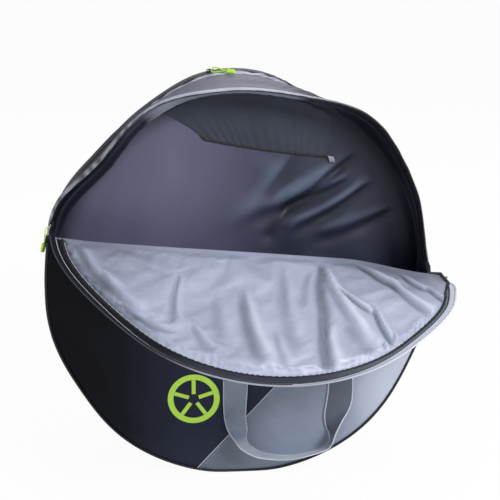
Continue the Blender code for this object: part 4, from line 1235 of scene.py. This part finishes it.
# %% The handle's webbing
HANDLE_EDGES = (
    # outer edge x, y, z, and inner edge x, y, z, from the left end to the right end
    (-0.0345, -0.1268, 0.1918, 0.0112, -0.1268, 0.1918), (-0.0344, -0.1272, 0.1740, 0.0108, -0.1271, 0.1740),
    (-0.0346, -0.1276, 0.1570, 0.0100, -0.1274, 0.1570), (-0.0344, -0.1290, 0.1390, 0.0088, -0.1276, 0.1410),
    (-0.0330, -0.1370, 0.1157, 0.0078, -0.1278, 0.1156), (-0.0268, -0.1450, 0.0945, 0.0104, -0.1280, 0.0915),
    (-0.0145, -0.1590, 0.0786, 0.0088, -0.1282, 0.0749), (-0.0033, -0.1650, 0.0649, 0.0136, -0.1282, 0.0596),
    (0.0216, -0.1665, 0.0499, 0.0343, -0.1282, 0.0440), (0.0490, -0.1670, 0.0433, 0.0574, -0.1282, 0.0368),
    (0.0812, -0.1670, 0.0408, 0.0854, -0.1282, 0.0330), (0.1134, -0.1670, 0.0444, 0.1133, -0.1282, 0.0341),
    (0.1456, -0.1665, 0.0526, 0.1411, -0.1282, 0.0400), (0.1630, -0.1665, 0.0592, 0.1573, -0.1282, 0.0474),
    (0.1716, -0.1665, 0.0693, 0.1682, -0.1282, 0.0554), (0.1760, -0.1660, 0.0824, 0.1730, -0.1282, 0.0650),
    (0.1815, -0.1620, 0.0945, 0.1712, -0.1282, 0.0780), (0.1931, -0.1500, 0.1105, 0.1640, -0.1280, 0.0950),
    (0.2070, -0.1350, 0.1257, 0.1620, -0.1278, 0.1171), (0.2138, -0.1288, 0.1420, 0.1650, -0.1275, 0.1400),
    (0.2153, -0.1276, 0.1590, 0.1675, -0.1273, 0.1580), (0.2157, -0.1272, 0.1750, 0.1688, -0.1270, 0.1750),
    (0.2155, -0.1268, 0.1918, 0.1695, -0.1268, 0.1918),
)


edges = resample(HANDLE_EDGES, 240)
outer_edge, inner_edge = edges[:, None, :3], edges[:, None, 3:]
share = np.linspace(0, 1, 15)[None, :, None]
centre = outer_edge + (inner_edge - outer_edge) * share
along = np.gradient(centre, axis=0)
face_way = np.cross(inner_edge - outer_edge, along)
face_way /= np.linalg.norm(face_way, axis=2, keepdims=True)
face_way *= -np.sign(face_way[0, 0, 1])
cup = 0.0008 * (1 - (2 * share - 1) ** 2)
thick = 0.0009 * (1 - 0.6 * np.abs(2 * share - 1) ** 8)
strap_face, strap_back = centre + face_way * (cup + thick), centre + face_way * (cup - thick)
# Painted light and shade on the webbing: painted shade on the right strap and towards the right, and painted light
# on the bottom shelf's upward face.
strap_shade = (-0.55 * smooth(0.150, 0.185, edges[:, 0]) * smooth(0.055, 0.075, edges[:, 2])
               + 0.8 * smooth(0.086, 0.062, edges[:, 2]) - 0.25 * smooth(0.1, 0.2, edges[:, 0]))
handle = shell("handle_strap", strap_face, strap_back, [WEBBING], inner_finish=0, shade=strap_shade[:, None])
finish_piece(handle, "handle", "webbing", "handle_webbing")
handle_pieces = [handle]
for edge_name, edge in (("handle_outer_selvedge", edges[:, :3]), ("handle_inner_selvedge", edges[:, 3:])):
    handle_pieces.append(tube(edge_name, edge, 0.0012, SELVEDGE, sides=8, up=(0.05, -0.9, 0.4)))
    finish_piece(handle_pieces[-1], "handle", "webbing")
for piece in handle_pieces:      # each handle piece gets a mesh of its own
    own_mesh(piece)
print("the handle's webbing is", round(float(path_run(centre[:, 7])[-1]), 3), "m long")

# %% [markdown]
# Stitches are short raised bars of thread. An array along a curve could repeat one, but it
# would bend them too, so they are written out one by one at an even pitch.

# %% Stitches, for the handle's ends, the seam and the edges
STITCH_RISE, STITCH_ROOT = 0.0007, 0.0009


def stitches(name, path, length, gap, width, finish, normal, body, slot):
    """A row of short raised stitches along a path."""
    path = np.asarray(path, float)
    run = path_run(path)
    starts = np.arange(0, run[-1] - length, length + gap)
    normal = np.asarray(normal, float)
    vertices, faces = [], []
    for start in starts:
        a, b = (np.array([np.interp(d, run, path[:, k]) for k in range(3)]) for d in (start, start + length))
        way = (b - a) / np.linalg.norm(b - a)
        side = np.cross(normal, way) * width / 2
        mid_a = a + (b - a) * 0.2 + normal * STITCH_RISE
        mid_b = a + (b - a) * 0.8 + normal * STITCH_RISE
        base = len(vertices)
        vertices += [a, b, mid_a + side, mid_b + side, mid_a - side, mid_b - side,
                     mid_a - normal * STITCH_ROOT, mid_b - normal * STITCH_ROOT]
        faces += [[base + i for i in f] for f in (
            (0, 4, 2), (1, 3, 5), (2, 4, 5, 3), (0, 2, 6), (0, 6, 4), (1, 7, 3), (1, 5, 7), (2, 3, 7, 6),
            (4, 6, 7, 5))]
    piece = new_piece(name, np.array(vertices), faces, [finish], smooth_angle=80)
    finish_piece(piece, body, slot)


THREAD_GREY = moulded("grey sewing thread", "#9aa1ae", "#c3c8d2", 0.6, 0.0005, 0.0001)

seam_z = np.linspace(0.012, 0.40, 60)
seam_x = SEAM_FOOT[0] + (seam_z - 0.010) / SEAM_SLOPE
seam_y = -HALF_DEPTH + front_relief(seam_x, seam_z) - 0.0004
seam_path = join(seam_x, seam_y, seam_z)
seam_cord = tube("front_slant_seam", seam_path, 0.0010, SELVEDGE, sides=6)
finish_piece(seam_cord, "bag", "grey_cloth")
stitches("front_slant_stitches", seam_path + np.array((0.004, -0.0004, -0.0036)), 0.0030, 0.0016, 0.0008,
         THREAD_GREY, (0, -1, 0), "bag", "grey_cloth")

# %% [markdown]
# The webbing's ends are held by two square patches, boxed and crossed with stitches. They
# are the one flat, hard-edged part of the bag, so they are modelled the plain way: a cube,
# cut up, its rim bevelled and its middle raised a little.


# %% Anchor patches of the handle
def anchor_patch(name, node):
    low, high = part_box(node)
    select_only()
    bpy.ops.mesh.primitive_cube_add(size=1, location=(low + high) / 2)
    patch = bpy.context.object
    patch.name = name
    patch.scale = high - low
    bpy.ops.object.transform_apply(location=True, rotation=True, scale=True)
    bpy.ops.object.mode_set(mode="EDIT")
    bpy.ops.mesh.select_all(action="SELECT")
    bpy.ops.mesh.subdivide(number_cuts=5)
    bpy.ops.object.mode_set(mode="OBJECT")
    middle = (low + high) / 2
    for vertex in patch.data.vertices:
        across = max(abs(vertex.co.x - middle.x) / (high.x - low.x),
                     abs(vertex.co.z - middle.z) / (high.z - low.z))
        vertex.co.y = middle.y + (vertex.co.y - middle.y) * (1.0 if across < 0.42 else 0.75)
    bevel = patch.modifiers.new("soft rim", "BEVEL")
    bevel.width, bevel.segments, bevel.limit_method = 0.0005, 2, "ANGLE"
    bpy.ops.object.modifier_apply(modifier=bevel.name)
    patch.data.materials.clear()
    patch.data.materials.append(WEBBING)
    bpy.ops.object.mode_set(mode="EDIT")
    bpy.ops.mesh.select_all(action="SELECT")
    bpy.ops.uv.cube_project(cube_size=1.0)
    bpy.ops.object.mode_set(mode="OBJECT")
    bpy.ops.object.shade_smooth_by_angle(angle=radians(40))
    finish_piece(patch, "bag", "webbing", node)
    inset = 0.005
    left, right, bottom, top = low.x + inset, high.x - inset, low.z + inset, high.z - inset
    box_path = [(left, bottom), (right, bottom), (right, top), (left, top), (left, bottom), (right, top)]
    cross = [(left, top), (right, bottom)]
    for k, corners in enumerate((box_path, cross)):
        dense = np.concatenate([np.linspace(a, b, 12) for a, b in zip(corners[:-1], corners[1:])])
        line = join(dense[:, 0], 0 * dense[:, 0] + low.y - 0.0002, dense[:, 1])
        keep = np.concatenate([[True], np.linalg.norm(np.diff(line, axis=0), axis=1) > 1e-6])
        stitches(f"{name}_stitches_{k}", line[keep], 0.0030, 0.0012, 0.0009, THREAD_GREY,
                 (0, -1, 0), "bag", "webbing")


for side in ("left", "right"):
    anchor_patch(f"handle_patch_{side}", f"handle_anchor_{side}")

# %% [markdown]
# ## The printed badge
# A plain lime pictogram of a spoked wheel is printed on the black cloth. It is drawn as thin
# shapes that lie on the cloth.

# %% A lime wheel pictogram
BADGE = (-0.092, 0.156)
BADGE_RADIUS, BADGE_BAND = 0.050, 0.011


def printed_patch(points_2d, faces):
    """Lays flat shapes on the cloth and adds them to the print."""
    base = len(print_vertices)
    for x, z in points_2d:
        y = -HALF_DEPTH + float(front_relief(np.array(x), np.array(z))) - 0.0004
        print_vertices.append((x, y, z))
    print_faces.extend([base + i for i in f] for f in faces)


print_vertices, print_faces = [], []
ring_points = []
BADGE_STEPS = 96
for k in range(BADGE_STEPS):
    turn = 2 * pi * k / BADGE_STEPS
    for reach in (BADGE_RADIUS - BADGE_BAND, BADGE_RADIUS):
        ring_points.append((BADGE[0] + reach * np.cos(turn), BADGE[1] + reach * np.sin(turn)))
ring_faces = [(2 * k, 2 * k + 1, (2 * k + 3) % (2 * BADGE_STEPS), (2 * k + 2) % (2 * BADGE_STEPS))
              for k in range(BADGE_STEPS)]
printed_patch(ring_points, ring_faces)
for k in range(5):
    turn = radians(90 + 72 * k)
    way, side = np.array((np.cos(turn), np.sin(turn))), np.array((-np.sin(turn), np.cos(turn)))
    stations = np.linspace(0.010, BADGE_RADIUS - BADGE_BAND - 0.0005, 8)
    spoke = [tuple(np.array(BADGE) + way * r + side * w) for r in stations for w in (-0.0038, 0.0038)]
    spoke_faces = [(2 * i, 2 * i + 2, 2 * i + 3, 2 * i + 1) for i in range(len(stations) - 1)]
    printed_patch(spoke, spoke_faces)
badge = new_piece("wheel_pictogram", np.array(print_vertices), print_faces, [LIME_PRINT],
                  uv=np.array(print_vertices)[:, [0, 2]])
thin = badge.modifiers.new("ink", "SOLIDIFY")
thin.thickness, thin.offset = 0.0003, 1.0
select_only(badge)
bpy.ops.object.modifier_apply(modifier="ink")
bpy.ops.object.shade_smooth_by_angle(angle=radians(20))
finish_piece(badge, "bag", "lime_cord")

# %% [markdown]
# ## Zip pulls
# Each slider has a wire loop with a lime cord through it, and the cord's two ends go into a
# moulded rubber grip. The cord is limp, so it hangs in a slim drop shape.


# %% Pull cords and grips
CORD_DIAMETER = 0.0027
DROP_LENGTH, DROP_WIDTH = 0.0330, 0.0066
GRIP_LENGTH, GRIP_HALF_WIDTH, GRIP_HALF_DEPTH = 0.0185, 0.0052, 0.0032


def pull(body, loop_end, down, out, old_cord, old_end, name):
    """A cord drop from the wire loop to the grip, and the grip. down and out are unit directions."""
    down, out, loop_end = (np.asarray(v, float) for v in (down, out, loop_end))
    down, out = down / np.linalg.norm(down), out / np.linalg.norm(out)
    steps = np.linspace(0, 1, 49)
    reach = DROP_LENGTH * (1 - np.abs(2 * steps - 1) ** 2.2)
    spread = DROP_WIDTH * np.sin(2 * pi * (steps - 0.5)) * (0.55 + 0.45 * np.abs(np.cos(pi * (steps - 0.5))))
    low_end = loop_end + down * 0.0310
    path = low_end - down * reach[:, None] + out * spread[:, None]
    path[0], path[-1] = low_end - out * 0.0018, low_end + out * 0.0018
    third = np.cross(down, out)
    cut, radii = ribbed(path, 0.0016, CORD_DIAMETER / 2 * 0.9, CORD_DIAMETER / 2, per_rib=4)
    cord = tube(name + "_cord", cut, radii, LIME_CORD, sides=10, up=third)
    finish_piece(cord, body, "lime_cord", old_cord)
    stations = np.array((0.0, 0.03, 0.10, 0.22, 0.34, 0.42, 0.60, 0.84, 0.95, 0.99, 1.0))
    half = np.array((0.55, 0.78, 0.92, 1.0, 0.96, 0.80, 0.86, 0.84, 0.78, 0.62, 0.35))
    turn = np.linspace(0, 2 * pi, 20, endpoint=False)
    box_x = np.sign(np.cos(turn)) * np.abs(np.cos(turn)) ** 0.6
    box_y = np.sign(np.sin(turn)) * np.abs(np.sin(turn)) ** 0.6
    start = low_end - down * 0.0012
    rings = (start + down * (stations * GRIP_LENGTH)[:, None])[:, None] + half[:, None, None] * (
        box_x[None, :, None] * out * GRIP_HALF_WIDTH + box_y[None, :, None] * third * GRIP_HALF_DEPTH)
    faces = hoop_faces(*rings.shape[:2])
    grip = new_piece(name + "_grip", rings.reshape(-1, 3), faces, [LIME_RUBBER], smooth_angle=60)
    finish_piece(grip, body, "lime_end", old_end)


pull("front_pull", (-0.3600, -0.1045, 0.4985), (-0.26, 0.0, -0.966), (-0.62, -0.77, 0.16), "front_pull_cord",
     "front_pull_end", "front_zip_pull")
pull("rear_pull", (-0.0385, 0.0845, 0.7575), (0.87, -0.49, -0.01), (0.36, 0.62, 0.70), "rear_pull_cord",
     "rear_pull_end", "rear_zip_pull")

# %% [markdown]
# ## Light and floor
# The photograph was taken in a white studio. A large soft light from the upper right, a
# weaker one from the left and a little light from behind shape the folds. Floor and world
# look white to the camera, but give the bag only plain light.


# %% Lights, floor and world
def soft_light(name, place, size, power, target=(0.0, 0.0, 0.35)):
    data = bpy.data.lights.new(name, "AREA")
    data.shape, data.size, data.energy = "DISK", size, power
    light = bpy.data.objects.new(name, data)
    light.location = place
    light.rotation_euler = (Vector(target) - Vector(place)).to_track_quat("-Z", "Y").to_euler()
    bpy.context.scene.collection.objects.link(light)


soft_light("key", (1.7, -2.2, 2.0), 1.0, 84)
soft_light("fill", (-2.6, -1.9, 1.2), 1.6, 24)
soft_light("back", (0.4, 2.2, 2.2), 1.6, 24)

bpy.ops.mesh.primitive_plane_add(size=14, location=(0, 0, -0.0005))
floor = bpy.context.object
floor.name = "studio_floor"
floor_finish, tree = new_finish("white studio floor")
rays = add(tree, "ShaderNodeLightPath")
seen = add(tree, "ShaderNodeMath", {0: rays.outputs["Is Camera Ray"], 1: rays.outputs["Is Glossy Ray"]},
           operation="MAXIMUM")
matt = add(tree, "ShaderNodeBsdfDiffuse", {"Color": colour("#f4f4f4")})
glow = add(tree, "ShaderNodeEmission", {"Color": (1, 1, 1, 1), "Strength": 1.0})
part = add(tree, "ShaderNodeMath", {0: seen.outputs["Value"], 1: 0.95}, operation="MULTIPLY")
both = add(tree, "ShaderNodeMixShader", {0: part.outputs["Value"], 1: matt.outputs["BSDF"],
           2: glow.outputs["Emission"]})
add(tree, "ShaderNodeOutputMaterial", {"Surface": both.outputs["Shader"]})
floor.data.materials.append(floor_finish)

world = bpy.data.worlds.new("white studio")
bpy.context.scene.world = world
world.use_nodes = True
tree = world.node_tree
tree.nodes.clear()
rays = add(tree, "ShaderNodeLightPath")
strength = add(tree, "ShaderNodeMapRange", {"Value": rays.outputs["Is Camera Ray"], "To Min": 0.40, "To Max": 1.0})
sky = add(tree, "ShaderNodeBackground", {"Color": (1, 1, 1, 1), "Strength": strength.outputs["Result"]})
add(tree, "ShaderNodeOutputWorld", {"Surface": sky.outputs["Background"]})
bpy.context.scene.view_settings.view_transform = "Standard"
